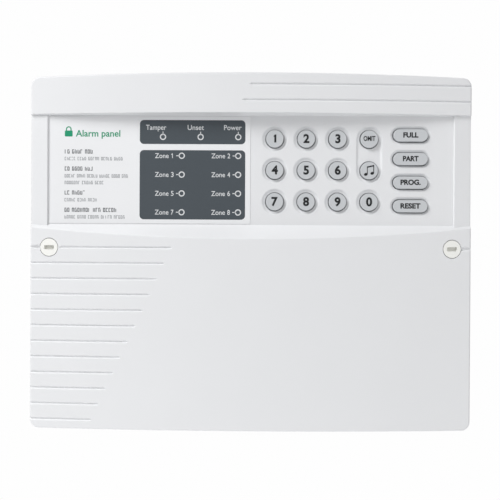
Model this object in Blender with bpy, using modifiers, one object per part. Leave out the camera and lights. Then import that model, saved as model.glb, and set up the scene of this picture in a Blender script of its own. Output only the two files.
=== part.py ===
"""Wall-mounted alarm control panel with a keypad: back box, bowed front cover, keys, board and power supply.

Metres. X runs to the right, Z up, and the front faces -Y. The origin is the middle of the back face, which
lies on the wall. Heights and sides are measured from that middle, and depths are negative towards the room.
"""

import math

import bmesh
import bpy
from mathutils import Matrix

# Overall sizes.
WIDTH = 0.280
HEIGHT = 0.2257
DEPTH = 0.075
BOW_RADIUS = 1.380  # the front is part of a cylinder with an upright axis
TOP_CROWN = 0.0022  # how far the top edge drops from its middle to its ends
CORNER_RADIUS = 0.0055
RIM_ROUND = 0.001
COVER_WALL = 0.0022
GAP = 0.0003  # between pieces that touch
CUT_PAST = 0.001  # how far a cutter runs past the face that it opens

# Band across the front and the flat pocket in it.
BAND_DROP = 0.0254  # from the top of the cover to the band
POCKET_DEPTH = 0.009
POCKET_DRAFT = 0.0007
POCKET_WALL = 0.003
SIDE_STRIP = 0.011
STRIP_DEPTH = 0.0018

# Keys.
KEY_PITCH = 0.020
KEY_RADIUS = 0.00597
KEY_RISE = 0.0013
KEY_EDGE = 0.0007
KEY_HOLE_GAP = 0.00033
KEY_TRAVEL = 0.0012
FLANGE_LIP = 0.001  # how far a key's flange reaches behind the edge of its hole
FLANGE_THICK = 0.0012
STEM_RADIUS = 0.004
WELL_MARGIN = 0.00243  # from a round key to the rim of its well
WELL_SLOPE = 0.002
WELL_DEPTH = 0.001
ROW_DROP = 0.01545  # from the band's top to the first row
ROW_FLOOR = 0.01485  # from the last row to the foot of the pocket
PILL_WIDTH = 0.0224
PILL_HEIGHT = 0.0086
PILL_PITCH = 0.015
PILL_STEM_RADIUS = 0.003
PILL_WELL_MARGIN = 0.00163
PILL_SIDE = 0.0273  # from the pocket's right end to the middle of the long keys
PILL_GAP = 0.0262  # from the long keys to the last column of round keys

# Printed label and its indicators.
LABEL_THICK = 0.0004
LABEL_RECESS = 0.0005
LABEL_SIDE = 0.0155  # from the label's right edge to the first column of round keys
LED_RADIUS = 0.0015
LED_LENGTH = 0.0053
LED_FLANGE = 0.0019
LED_FLANGE_THICK = 0.001
LED_LEG = 0.0005
LED_LEG_PITCH = 0.00254
LED_HOLE_GAP = 0.0006
LED_SIDE = 0.0078  # from the label's right edge to the right column of indicators
STATUS_PITCH = 0.024
STATUS_DROP = 0.0144  # from the band's top to the row of status indicators
ZONE_DROP = 0.012
ZONE_PITCH = 0.012
ZONE_SPACING = 0.036

# Decorative grooves.
GROOVE_RADIUS = 0.0009
GROOVE_FOOT = 0.005  # least height between the last groove and the foot of the cover
TOP_GROOVE_COUNT = 2
TOP_GROOVE_DROP = 0.0074
GROOVE_PITCH = 0.00993
GROOVE_STEP = 0.00463  # each groove ends this much further left than the one above
GROOVE_DROP = 0.0148  # from the foot of the pocket to the first groove
GROOVE_REACH = 0.0487  # from the middle to the end of the first groove
GROOVE_RIM = 0.0015
GROOVE_STATION = 0.014

# Cover screws and their caps.
SCREW_INSET = 0.0122  # from the side of the cover
CAP_RADIUS = 0.0056
CAP_THICK = 0.0018
CAP_GAP = 0.00035
CAP_SKIRT = 0.003
CAP_SKIRT_WALL = 0.0012
CAP_SLOT_WIDTH = 0.0065
CAP_SLOT_HEIGHT = 0.0026
CAP_SLOT_DEPTH = 0.0009
PRY_WIDTH = 0.0026
PRY_DEPTH = 0.0006
BOSS_RADIUS = 0.0072
BOSS_FLOOR = 0.010  # thickness of a boss under its screw head
SCREW_HEAD_RADIUS = 0.0038
SCREW_HEAD_THICK = 0.0028
SCREW_RADIUS = 0.0019
SCREW_LENGTH = 0.018
SCREW_DRIVE = 0.0006
PILOT_DEPTH = 0.012

# Back box.
BASE_HEIGHT = 0.020
BASE_STEP = 0.001  # how far the base stands in from the cover
BASE_WALL = 0.0025
LIP_HEIGHT = 0.005
LIP_WALL = 0.0016
LIP_GAP = 0.0004
PILLAR_RADIUS = 0.0045
PILLAR_HEIGHT = 0.040
POST_RADIUS = 0.004
CABLE_ENTRY_WIDTH = 0.050
CABLE_ENTRY_HEIGHT = 0.022
SIDE_ENTRY_WIDTH = 0.016
SIDE_ENTRY_HEIGHT = 0.008
SIDE_ENTRY_X = (-0.100, -0.072)
CABLE_ENTRY_RISE = 0.028  # from the cover screws to the foot of the cable entry
KEYHOLE_RADIUS = 0.0045
KEYHOLE_SLOT = 0.005
KEYHOLE_LENGTH = 0.009
KEYHOLE_DROP = 0.026  # from the top of the case to the upper fixing
KEYHOLE_SIDE = 0.016  # from the side of the case to the other two
KEYHOLE_BELOW_SCREW = 0.024

# Board and what stands on it.
BOARD_THICK = 0.0016
BOARD_MARGIN = 0.016  # from the middle of the long keys to the board's right edge
BOARD_SIDE = 0.0462  # from the side of the case to the board's left edge
BOARD_ABOVE = 0.026
BOARD_BELOW = 0.034
POST_INSET = 0.005
POST_CLEAR = 0.0015
MAT_THICK = 0.0024
MAT_HOLE_GAP = 0.0005
MAT_MARGIN = 0.003
BOARD_SCREW_RADIUS = 0.00145
BOARD_SCREW_HEAD = 0.0028
BOARD_SCREW_HEAD_THICK = 0.0018
BOARD_SCREW_LENGTH = 0.010
TERMINAL_PITCH = 0.005
TERMINAL_DEPTH = 0.010
TERMINAL_TALL = 0.010
TERMINAL_SIDE = 0.012  # from the board's left edge
TERMINAL_SPACING = 0.009
ZONE_WAYS = 16
OUTPUT_WAYS = 14
PARTS_RISE = 0.017  # from the board's foot to the processor and the relay
CHIP_SIDE = 0.034
CHIP_SIZE = (0.052, 0.004, 0.014)
CHIP_NOTCH = 0.0015
RELAY_SIDE = 0.102
RELAY_SIZE = (0.019, 0.0105, 0.0155)
SOUNDER_RADIUS = 0.0115
SOUNDER_HOLE = 0.0012
SOUNDER_TALL = 0.0085
SOUNDER_SIDE = 0.022  # from the board's right edge
SOUNDER_RISE = 0.026
SWITCH_SIZE = (0.0128, 0.006)
SWITCH_SIDE = 0.012
SWITCH_RISE = 0.004  # above the last row of keys
SWITCH_SINK = 0.0016
PLUNGER_BORE = 0.0018
PLUNGER_LENGTH = 0.0028

# Power supply.
BATTERY_WIDTH = 0.178
BATTERY_TALL = 0.060
BATTERY_THICK = 0.034
BATTERY_SIDE = 0.004
BATTERY_RISE = 0.0028
BAY_RIB = 0.002
BAY_RIB_TALL = 0.014
BAY_GAP = 0.0006
TAB_SIZE = (0.0048, 0.0008, 0.006)
TAB_SIDE = 0.008
TAB_PITCH = 0.014
LEAD_RADIUS = 0.0011
CORE_WIDTH = 0.054
CORE_TALL = 0.045
CORE_THICK = 0.018
COIL_WIDTH = 0.036
CORE_LIMB = 0.009  # half the middle limb, and the width of each outer one
CORE_SIDE = 0.010
CORE_RISE = 0.002
CORE_LIFT = 0.008
CORE_FOOT = 0.009
FOOT_THICK = 0.0015
FOOT_TALL = 0.012
FOOT_SCREW_LENGTH = 0.0036
COIL_PROUD = 0.006
MAINS_WAYS = 3
MAINS_PITCH = 0.009
MAINS_SIDE = 0.008
MAINS_RISE = 0.003
FUSE_SIZE = (0.030, 0.010, 0.010)

ROUND = 18  # sides of a round piece
SMALL_ROUND = 10  # sides of a small one
BOW_STATIONS = 16

# Places that follow from the sizes above.
HALF_WIDTH = WIDTH / 2
TOP = HEIGHT / 2
FRONT = -DEPTH
POCKET_HALF = HALF_WIDTH - SIDE_STRIP
BAND_TOP = TOP - BAND_DROP
FLOOR_Y = FRONT + POCKET_DEPTH
POCKET_BACK = FLOOR_Y + POCKET_WALL
ROW_1 = BAND_TOP - ROW_DROP
ROW_3 = ROW_1 - 2 * KEY_PITCH
POCKET_FOOT = ROW_3 - ROW_FLOOR
PILL_X = POCKET_HALF - PILL_SIDE
COLUMN_4 = PILL_X - PILL_GAP
COLUMN_1 = COLUMN_4 - 3 * KEY_PITCH
PILL_TOP = ROW_1 - KEY_PITCH + 1.5 * PILL_PITCH
LABEL_RIGHT = COLUMN_1 - LABEL_SIDE
LED_RIGHT = LABEL_RIGHT - LED_SIDE
STATUS_Z = BAND_TOP - STATUS_DROP
PILL_STRETCH = PILL_WIDTH - PILL_HEIGHT  # how far a round outline is pulled out sideways
WELL_RADIUS = KEY_RADIUS + WELL_MARGIN
FLANGE_RADIUS = KEY_RADIUS + KEY_HOLE_GAP + FLANGE_LIP
SCREW_X = HALF_WIDTH - SCREW_INSET
SCREW_Z = POCKET_FOOT - GROOVE_DROP
GROOVE_COUNT = 1 + int((SCREW_Z + TOP - GROOVE_FOOT) / GROOVE_PITCH)
SCREW_SEAT = -PILLAR_HEIGHT - BOSS_FLOOR
FLANGE_FRONT = POCKET_BACK + GAP
FLANGE_BACK = FLANGE_FRONT + FLANGE_THICK
MAT_FRONT = FLANGE_BACK + KEY_TRAVEL + GAP
MAT_BACK = MAT_FRONT + MAT_THICK
BOARD_FRONT = MAT_BACK + GAP
BOARD_BACK = BOARD_FRONT + BOARD_THICK
ON_BOARD = BOARD_FRONT - GAP
BOARD_RIGHT = PILL_X + BOARD_MARGIN
BOARD_LEFT = BOARD_SIDE - HALF_WIDTH
BOARD_TOP = ROW_1 + BOARD_ABOVE
BOARD_BOTTOM = SCREW_Z - BOARD_BELOW
BASE_FLOOR = -BASE_WALL
INNER_HALF = HALF_WIDTH - BASE_STEP - BASE_WALL
INNER_BOTTOM = -TOP + BASE_STEP + BASE_WALL
BATTERY_LEFT = INNER_HALF - BATTERY_SIDE - BATTERY_WIDTH
BATTERY_LOW = INNER_BOTTOM + BATTERY_RISE
BATTERY_HIGH = BATTERY_LOW + BATTERY_TALL
ON_BASE = BASE_FLOOR - GAP
CORE_X = -INNER_HALF + CORE_SIDE + CORE_WIDTH / 2
CORE_LOW = BATTERY_LOW + CORE_RISE
CORE_BACK = BASE_FLOOR - CORE_LIFT
CORE_FRONT = CORE_BACK - CORE_THICK
FOOT_HOLE = BOARD_SCREW_RADIUS + GAP


def clear_scene():
    for old in list(bpy.data.objects):
        bpy.data.objects.remove(old, do_unlink=True)


def new_collection(name):
    collection = bpy.data.collections.new(name)
    bpy.context.scene.collection.children.link(collection)
    return collection


clear_scene()
PANEL = new_collection("alarm_keypad_panel")
CUTTERS = new_collection("cutters")
CUTTERS.hide_render = True


def material(name, rgb, roughness, metallic=0.0):
    made = bpy.data.materials.new(name)
    made.use_nodes = True
    shader = made.node_tree.nodes["Principled BSDF"]
    shader.inputs["Base Color"].default_value = (*rgb, 1.0)
    shader.inputs["Roughness"].default_value = roughness
    shader.inputs["Metallic"].default_value = metallic
    return made


COVER_WHITE = material("cover_white", (0.80, 0.80, 0.80), 0.45)
BASE_WHITE = material("base_white", (0.76, 0.76, 0.76), 0.5)
LABEL_GREY = material("label_grey", (0.70, 0.70, 0.70), 0.4)
KEY_GREY = material("key_grey", (0.45, 0.48, 0.51), 0.55)
RUBBER = material("mat_rubber", (0.30, 0.31, 0.32), 0.8)
BOARD_GREEN = material("board_green", (0.03, 0.18, 0.07), 0.4)
BLACK_PLASTIC = material("black_plastic", (0.02, 0.02, 0.02), 0.5)
GREEN_PLASTIC = material("terminal_green", (0.02, 0.25, 0.08), 0.5)
STEEL = material("steel", (0.60, 0.60, 0.60), 0.35, 1.0)
IRON = material("core_iron", (0.20, 0.20, 0.21), 0.5, 0.8)
TAPE = material("coil_tape", (0.60, 0.42, 0.05), 0.6)
RED = material("led_red", (0.60, 0.03, 0.02), 0.2)
GREEN = material("led_green", (0.03, 0.45, 0.08), 0.2)
BATTERY_GREY = material("battery_grey", (0.08, 0.08, 0.09), 0.5)
RED_WIRE = material("red_wire", (0.55, 0.02, 0.02), 0.5)
BLACK_WIRE = material("black_wire", (0.02, 0.02, 0.02), 0.5)


def bow(x):
    """How far the bowed front lies behind its middle, at this distance from the middle."""
    return BOW_RADIUS - math.sqrt(BOW_RADIUS**2 - x**2)


def place(name, mesh, collection, finish):
    obj = bpy.data.objects.new(name, mesh)
    collection.objects.link(obj)
    obj.data.materials.clear()
    if finish:
        obj.data.materials.append(finish)
    if collection is CUTTERS:
        obj.hide_render = True
        obj.display_type = "WIRE"
    return obj


def closed_mesh(name, build):
    """A mesh from build(bm), with welded points and every face outwards."""
    bm = bmesh.new()
    build(bm)
    bmesh.ops.remove_doubles(bm, verts=bm.verts, dist=1e-6)
    bmesh.ops.recalc_face_normals(bm, faces=bm.faces)
    mesh = bpy.data.meshes.new(name)
    bm.to_mesh(mesh)
    bm.free()
    return mesh


AXES = {
    "X": Matrix(((0, 0, 1, 0), (1, 0, 0, 0), (0, 1, 0, 0), (0, 0, 0, 1))),
    "Y": Matrix(((1, 0, 0, 0), (0, 0, -1, 0), (0, 1, 0, 0), (0, 0, 0, 1))),
    "Z": Matrix.Identity(4),
}


def mesh_of(guide):
    """The evaluated mesh of a guide object, which is removed."""
    bpy.context.scene.collection.objects.link(guide)
    bpy.context.view_layer.update()
    graph = bpy.context.evaluated_depsgraph_get()
    made = bpy.data.meshes.new_from_object(guide.evaluated_get(graph))
    bpy.data.objects.remove(guide, do_unlink=True)
    return made


def extruded(name, outline, axis, low, high, finish=None, collection=None):
    """A flat outline pushed along an axis: (y, z) points for X, (x, z) for Y and (x, y) for Z."""
    curve = bpy.data.curves.new(name, "CURVE")
    curve.dimensions = "2D"
    curve.fill_mode = "BOTH"
    curve.extrude = (high - low) / 2
    spline = curve.splines.new("POLY")
    spline.points.add(len(outline) - 1)
    for point, (a, b) in zip(spline.points, outline):
        point.co = (a, b, 0, 1)
    spline.use_cyclic_u = True
    flat = mesh_of(bpy.data.objects.new(name + "_outline", curve))
    middle = (low + high) / 2
    along = Matrix.Translation((0, 0, -middle if axis == "Y" else middle))
    flat.transform(AXES[axis] @ along)
    mesh = closed_mesh(name, lambda bm: bm.from_mesh(flat))
    return place(name, mesh, collection or CUTTERS, finish)


def block(name, x, y, z, finish=None, collection=None):
    """A box between two values on each axis."""
    spans = [(min(pair), max(pair)) for pair in (x, y, z)]
    size = [high - low for low, high in spans]
    middle = [(low + high) / 2 for low, high in spans]

    def build(bm):
        bmesh.ops.create_cube(bm, size=1.0)
        bmesh.ops.scale(bm, vec=size, verts=bm.verts)
        bmesh.ops.translate(bm, vec=middle, verts=bm.verts)

    return place(name, closed_mesh(name, build), collection or CUTTERS, finish)


def turned(name, profile, x, z, finish=None, collection=None, length=0.0, sides=ROUND):
    """A (radius, y) profile turned about the Y axis through (x, z). A length pulls it out sideways."""
    wire = bpy.data.meshes.new(name)
    wire.from_pydata([(r, y, 0) for r, y in profile], [(i, i + 1) for i in range(len(profile) - 1)], [])
    guide = bpy.data.objects.new(name + "_profile", wire)
    screw = guide.modifiers.new("turn", "SCREW")
    screw.axis = "Y"
    screw.steps = screw.render_steps = sides
    screw.use_merge_vertices = True
    screw.merge_threshold = 0.0001
    solid = mesh_of(guide)

    def build(bm):
        bm.from_mesh(solid)
        for vert in bm.verts:
            if abs(vert.co.x) > 1e-6:
                vert.co.x += math.copysign(length / 2, vert.co.x)
        bmesh.ops.translate(bm, vec=(x, 0, z), verts=bm.verts)

    mesh = closed_mesh(name, build)
    obj = place(name, mesh, collection or CUTTERS, finish)
    obj.data.shade_smooth()
    obj.data.set_sharp_from_angle(angle=math.radians(35))
    return obj


def rod(name, x, z, radius, low, high, length=0.0, sides=ROUND):
    """A cutter or a boss: a cylinder along Y, its ends at low and high."""
    profile = [(0, low), (radius, low), (radius, high), (0, high)]
    return turned(name, profile, x, z, length=length, sides=sides)


STEPS = []  # (object, operation, other object), in the order in which they apply
MANIFOLD_SHAPES = ("front_cover", "back_box", "screw_cap")  # the exact solver leaves these open


def boolean(obj, operation, others):
    STEPS.extend((obj, operation, other) for other in others)
    return obj


def cut(obj, *others):
    return boolean(obj, "DIFFERENCE", others)


def join(obj, *others):
    return boolean(obj, "UNION", others)


def add_booleans():
    """Adds every recorded step as a modifier, once all the shapes are there."""
    for obj, operation, other in STEPS:
        step = obj.modifiers.new(operation.lower() + "_" + other.name, "BOOLEAN")
        step.operation = operation
        step.solver = "MANIFOLD" if obj.name.startswith(MANIFOLD_SHAPES) else "EXACT"
        step.object = other


def corner(x, z, radius, start):
    """Points of a quarter turn about (x, z), starting at an angle in degrees."""
    steps = 5
    turns = [math.radians(start + 90 * i / steps) for i in range(steps + 1)]
    return [(x + radius * math.cos(a), z + radius * math.sin(a)) for a in turns]


def case_outline(inset):
    """The case seen from the front, drawn in by inset, with its crowned top edge."""
    half = HALF_WIDTH - inset
    low = -TOP + inset
    radius = max(CORNER_RADIUS - inset, 0.002)
    shoulder = half - radius

    def crown(x):
        return TOP - inset - TOP_CROWN * (x / HALF_WIDTH) ** 2

    points = corner(-shoulder, low + radius, radius, 180)
    points += corner(shoulder, low + radius, radius, 270)
    points += corner(shoulder, crown(shoulder) - radius, radius, 0)
    inner = 9
    for i in range(1, inner):
        x = shoulder - 2 * shoulder * i / inner
        points.append((x, crown(x)))
    points += corner(-shoulder, crown(shoulder) - radius, radius, 90)
    return points


def bow_outline(offset, back):
    """The bowed front seen from above, moved back by offset."""
    reach = HALF_WIDTH + 0.010
    points = [(reach, back), (-reach, back)]
    for i in range(BOW_STATIONS + 1):
        x = -reach + 2 * reach * i / BOW_STATIONS
        points.append((x, FRONT + offset + bow(x)))
    return points


def bowed_case(name, inset, offset, back, finish=None, collection=None):
    """The case's outline with its bowed front, as one solid back to a depth."""
    body = extruded(name, bow_outline(offset, back), "Z", -HEIGHT, HEIGHT, finish, collection)
    outline = extruded(name + "_edge", case_outline(inset), "Y", FRONT - 0.01, 0.01)
    return boolean(body, "INTERSECT", [outline])


def pocket_profile(wall):
    """The band's section from the side: steep at the top, a 45 degree slope at the foot, grown by wall."""
    reach = POCKET_DEPTH + 0.003
    slant = wall * math.tan(math.radians(22.5))
    return [
        (FLOOR_Y + wall, POCKET_FOOT - slant),
        (FLOOR_Y + wall, BAND_TOP - POCKET_DRAFT + wall),
        (FLOOR_Y - reach, BAND_TOP + POCKET_DRAFT * 0.3 + wall),
        (FLOOR_Y - reach, POCKET_FOOT - slant - reach - wall),
    ]


def round_keys():
    """(name, x, z) of the twelve round keys, row by row."""
    names = ["1", "2", "3", "omit", "4", "5", "6", "chime", "7", "8", "9", "0"]
    places = []
    for i, name in enumerate(names):
        places.append(("key_" + name, COLUMN_1 + (i % 4) * KEY_PITCH, ROW_1 - (i // 4) * KEY_PITCH))
    return places


def long_keys():
    """(name, x, z) of the four long keys, top to bottom."""
    names = ["full", "part", "program", "reset"]
    return [("key_" + name, PILL_X, PILL_TOP - i * PILL_PITCH) for i, name in enumerate(names)]


def indicators():
    """(name, x, z) of every indicator."""
    places = []
    for i, name in enumerate(["power", "unset", "tamper"]):
        places.append(("led_" + name, LED_RIGHT - i * STATUS_PITCH, STATUS_Z))
    for i in range(8):
        x = LED_RIGHT - ZONE_SPACING * (1 - i % 2)
        places.append((f"led_zone_{i + 1}", x, STATUS_Z - ZONE_DROP - (i // 2) * ZONE_PITCH))
    return places


def well_profile(radius):
    """Dished well round a key: a rounded slope down to a flat floor."""
    floor = FLOOR_Y + WELL_DEPTH
    return [
        (0, FLOOR_Y - CUT_PAST),
        (radius, FLOOR_Y - CUT_PAST),
        (radius, FLOOR_Y),
        (radius - WELL_SLOPE / 2, FLOOR_Y + WELL_DEPTH * 0.4),
        (radius - WELL_SLOPE, floor),
        (0, floor),
    ]


def shared_well():
    """The trough that joins the wells of the two function keys in the last column."""
    inset = 0.0002
    section = [(radius - inset, y - inset / 10) for radius, y in well_profile(WELL_RADIUS)[1:-1]]
    outline = [(COLUMN_4 + x, y) for x, y in section] + [(COLUMN_4 - x, y) for x, y in reversed(section)]
    return extruded("shared_well", outline, "Z", ROW_1 - KEY_PITCH, ROW_1)


def key_openings():
    """Cutters for the wells and holes of every key."""
    tools = [shared_well()]
    for name, x, z in round_keys():
        tools.append(turned(name + "_well", well_profile(WELL_RADIUS), x, z))
        hole = KEY_RADIUS + KEY_HOLE_GAP
        tools.append(rod(name + "_hole", x, z, hole, FLOOR_Y, POCKET_BACK + CUT_PAST))
    for name, x, z in long_keys():
        well = well_profile(PILL_HEIGHT / 2 + PILL_WELL_MARGIN)
        tools.append(turned(name + "_well", well, x, z, length=PILL_STRETCH))
        hole = PILL_HEIGHT / 2 + KEY_HOLE_GAP
        tools.append(rod(name + "_hole", x, z, hole, FLOOR_Y, POCKET_BACK + CUT_PAST, length=PILL_STRETCH))
    return tools


def groove(name, left, right, z):
    """A cutter of diamond section that follows the bow, so that it leaves a V-shaped groove."""
    curve = bpy.data.curves.new(name, "CURVE")
    curve.dimensions = "3D"
    curve.bevel_depth = GROOVE_RADIUS
    curve.bevel_resolution = 0
    curve.use_fill_caps = True
    spline = curve.splines.new("POLY")
    stations = max(3, int((right - left) / GROOVE_STATION))
    spline.points.add(stations)
    for i in range(stations + 1):
        x = left + (right - left) * i / stations
        spline.points[i].co = (x, FRONT + bow(x), z, 1)
    swept = mesh_of(bpy.data.objects.new(name + "_path", curve))
    return place(name, closed_mesh(name, lambda bm: bm.from_mesh(swept)), CUTTERS, None)


def grooves():
    """The fan of grooves on the lower left and those on the top strip, all ending on one slanted line."""
    tools = []
    for i in range(GROOVE_COUNT):
        left = -HALF_WIDTH + GROOVE_RIM
        if i == 0:
            left = -SCREW_X + CAP_RADIUS + CAP_GAP + GROOVE_RIM
        right = -GROOVE_REACH - i * GROOVE_STEP
        tools.append(groove(f"groove_{i + 1}", left, right, SCREW_Z - i * GROOVE_PITCH))
    for i in range(TOP_GROOVE_COUNT):
        z = TOP - TOP_GROOVE_DROP - i * GROOVE_PITCH
        left = -GROOVE_REACH + (z - SCREW_Z) * GROOVE_STEP / GROOVE_PITCH
        tools.append(groove(f"top_groove_{i + 1}", left, HALF_WIDTH - GROOVE_RIM, z))
    return tools


def strips(name, wall):
    """The shallow recesses beside the pocket, which follow the bow, grown by a wall."""
    shapes = []
    deep = FRONT + STRIP_DEPTH + wall
    for side in (-1, 1):
        inner = side * (POCKET_HALF - COVER_WALL)
        outer = side * (HALF_WIDTH + CUT_PAST)
        plan = [
            (inner, deep + bow(inner)),
            (outer, deep + bow(outer)),
            (outer, FRONT - POCKET_DEPTH),
            (inner, FRONT - POCKET_DEPTH),
        ]
        strip = extruded(f"{name}_{side}", plan, "Z", POCKET_FOOT - BAND_DROP, TOP + CUT_PAST)
        reach = HALF_WIDTH + 2 * CUT_PAST
        limit = extruded(f"{name}_limit_{side}", pocket_profile(wall), "X", -reach, reach)
        shapes.append(boolean(strip, "INTERSECT", [limit]))
    return shapes


def pry_groove(name, side):
    """A short tapered groove from the side of the cover to the cap, for lifting the cap out."""
    rim = side * (HALF_WIDTH + CUT_PAST)
    near = side * (SCREW_X + CAP_RADIUS)
    face = FRONT + bow(HALF_WIDTH)
    half_rim, half_near = PRY_WIDTH / 4, PRY_WIDTH / 2
    outline = [
        (rim, SCREW_Z - half_rim),
        (near, SCREW_Z - half_near),
        (near, SCREW_Z + half_near),
        (rim, SCREW_Z + half_rim),
    ]
    return extruded(name, outline, "Y", face - 4 * CUT_PAST, face + PRY_DEPTH)


def make_front_cover():
    """Moulded cover: bowed shell with the band, pocket, key openings, grooves and two screw bosses."""
    cover = bowed_case("front_cover", 0.0, 0.0, -BASE_HEIGHT, COVER_WHITE, PANEL)
    rim = cover.modifiers.new("rim", "BEVEL")
    rim.width = RIM_ROUND
    rim.segments = 2
    rim.limit_method = "ANGLE"
    rim.angle_limit = math.radians(60)

    cavity = bowed_case("cavity", COVER_WALL, COVER_WALL, 0.01)
    back_half = POCKET_HALF + COVER_WALL
    backing = extruded("backing", pocket_profile(POCKET_WALL), "X", -back_half, back_half)
    cut(cavity, backing, *strips("strip_backing", COVER_WALL))
    cut(cover, cavity)

    pocket = extruded("pocket", pocket_profile(0.0), "X", -POCKET_HALF, POCKET_HALF)
    cut(cover, pocket, *strips("strip", 0.0))

    inside = FRONT + bow(SCREW_X) + COVER_WALL / 2
    recess = CAP_RADIUS + CAP_GAP
    bore = SCREW_RADIUS + GAP
    for end, side in (("left", -1), ("right", 1)):
        x = side * SCREW_X
        join(cover, rod("boss_" + end, x, SCREW_Z, BOSS_RADIUS, inside, -PILLAR_HEIGHT - GAP))
        cut(cover, rod("recess_" + end, x, SCREW_Z, recess, FRONT - CUT_PAST, SCREW_SEAT))
        cut(cover, rod("bore_" + end, x, SCREW_Z, bore, SCREW_SEAT - CUT_PAST, -PILLAR_HEIGHT + CUT_PAST))
        cut(cover, pry_groove("pry_" + end, side))

    seat_x = (-POCKET_HALF + GAP, LABEL_RIGHT + GAP)
    seat_y = (FLOOR_Y - CUT_PAST, FLOOR_Y + LABEL_RECESS)
    cut(cover, block("label_seat", seat_x, seat_y, (POCKET_FOOT + GAP, BAND_TOP - POCKET_DRAFT - GAP)))
    cut(cover, *key_openings())
    for name, x, z in indicators():
        hole = LED_RADIUS + LED_HOLE_GAP
        cut(cover, rod(name + "_hole", x, z, hole, FLOOR_Y, POCKET_BACK + CUT_PAST, sides=SMALL_ROUND))
    cut(cover, *grooves())


def make_label():
    """Printed overlay in the left half of the pocket."""
    span = (-POCKET_HALF + 2 * GAP, LABEL_RIGHT)
    back = FLOOR_Y + LABEL_RECESS - GAP
    height = (POCKET_FOOT + 2 * GAP, BAND_TOP - POCKET_DRAFT - 2 * GAP)
    block("legend_label", span, (back - LABEL_THICK, back), height, LABEL_GREY, PANEL)


def key_profile(radius, stem):
    """A key from front to back: rounded cap, flange behind the cover, stem down to the board."""
    front = FLOOR_Y - KEY_RISE
    end = ON_BOARD - KEY_TRAVEL
    flange = radius + KEY_HOLE_GAP + FLANGE_LIP
    return [
        (0, front),
        (radius - KEY_EDGE, front),
        (radius - KEY_EDGE * 0.3, front + KEY_EDGE * 0.3),
        (radius, front + KEY_EDGE),
        (radius, FLANGE_FRONT),
        (flange, FLANGE_FRONT),
        (flange, FLANGE_BACK),
        (stem, FLANGE_BACK),
        (stem, end),
        (0, end),
    ]


def make_keys():
    for name, x, z in round_keys():
        turned(name, key_profile(KEY_RADIUS, STEM_RADIUS), x, z, KEY_GREY, PANEL)
    for name, x, z in long_keys():
        profile = key_profile(PILL_HEIGHT / 2, PILL_STEM_RADIUS)
        turned(name, profile, x, z, KEY_GREY, PANEL, length=PILL_STRETCH)


def make_mat():
    """Silicone mat on the board, open round the stem of each key."""
    side = FLANGE_RADIUS + MAT_MARGIN
    span = (COLUMN_1 - side, PILL_X + PILL_WIDTH / 2 + MAT_MARGIN)
    mat = block("keypad_mat", span, (MAT_FRONT, MAT_BACK), (ROW_3 - side, ROW_1 + side), RUBBER, PANEL)
    ends = (MAT_FRONT - CUT_PAST, MAT_BACK + CUT_PAST)
    for name, x, z in round_keys():
        cut(mat, rod(name + "_mat_hole", x, z, STEM_RADIUS + MAT_HOLE_GAP, *ends, sides=14))
    for name, x, z in long_keys():
        hole = PILL_STEM_RADIUS + MAT_HOLE_GAP
        cut(mat, rod(name + "_mat_hole", x, z, hole, *ends, length=PILL_STRETCH, sides=14))


def board_posts():
    """(x, z) of the four posts that carry the board."""
    return [
        (x, z)
        for z in (BOARD_TOP - POST_INSET, BOARD_BOTTOM + POST_INSET)
        for x in (BOARD_LEFT + POST_INSET, BOARD_RIGHT - POST_INSET)
    ]


def make_board():
    span = (BOARD_LEFT, BOARD_RIGHT)
    board = block("main_pcb", span, (BOARD_FRONT, BOARD_BACK), (BOARD_BOTTOM, BOARD_TOP), BOARD_GREEN, PANEL)
    hole = BOARD_SCREW_RADIUS + GAP
    for i, (x, z) in enumerate(board_posts()):
        ends = (BOARD_FRONT - CUT_PAST, BOARD_BACK + CUT_PAST)
        cut(board, rod(f"board_hole_{i + 1}", x, z, hole, *ends, sides=12))


def make_led(name, x, z, finish):
    """A 3 mm indicator: domed lens with a flange, on two square legs."""
    tip = FLOOR_Y + LABEL_RECESS + GAP
    foot = tip + LED_LENGTH
    brim = foot - LED_FLANGE_THICK
    bends = [math.radians(angle) for angle in (0, 45, 90)]
    profile = [(LED_RADIUS * math.sin(a), tip + LED_RADIUS * (1 - math.cos(a))) for a in bends]
    profile += [(LED_RADIUS, brim), (LED_FLANGE, brim), (LED_FLANGE, foot), (0, foot)]
    led = turned(name, profile, x, z, finish, PANEL, sides=SMALL_ROUND)
    half = LED_LEG / 2
    for side in (-1, 1):
        middle = x + side * LED_LEG_PITCH / 2
        span = (middle - half, middle + half)
        join(led, block(f"{name}_leg_{side}", span, (foot - half, ON_BOARD), (z - half, z + half)))


def make_leds():
    for name, x, z in indicators():
        make_led(name, x, z, GREEN if name in ("led_power", "led_unset") else RED)


def make_screw(name, x, z, seat, radius, head_radius, head_thick, length):
    """Pan-head screw along Y, its head in front of the seat, with a cross recess."""
    front = seat - head_thick
    profile = [
        (0, front),
        (head_radius * 0.7, front),
        (head_radius, front + head_thick * 0.45),
        (head_radius, seat),
        (radius, seat),
        (radius, seat + length - radius),
        (0, seat + length),
    ]
    screw = turned(name, profile, x, z, STEEL, PANEL, sides=12)
    arm = head_radius * 0.55
    flat = SCREW_DRIVE / 2
    deep = (front - CUT_PAST, front + head_thick * 0.5)
    cut(screw, block(name + "_drive_a", (x - arm, x + arm), deep, (z - flat, z + flat)))
    cut(screw, block(name + "_drive_b", (x - flat, x + flat), deep, (z - arm, z + arm)))


def make_small_screw(name, x, z, seat, length):
    make_screw(name, x, z, seat, BOARD_SCREW_RADIUS, BOARD_SCREW_HEAD, BOARD_SCREW_HEAD_THICK, length)


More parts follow.
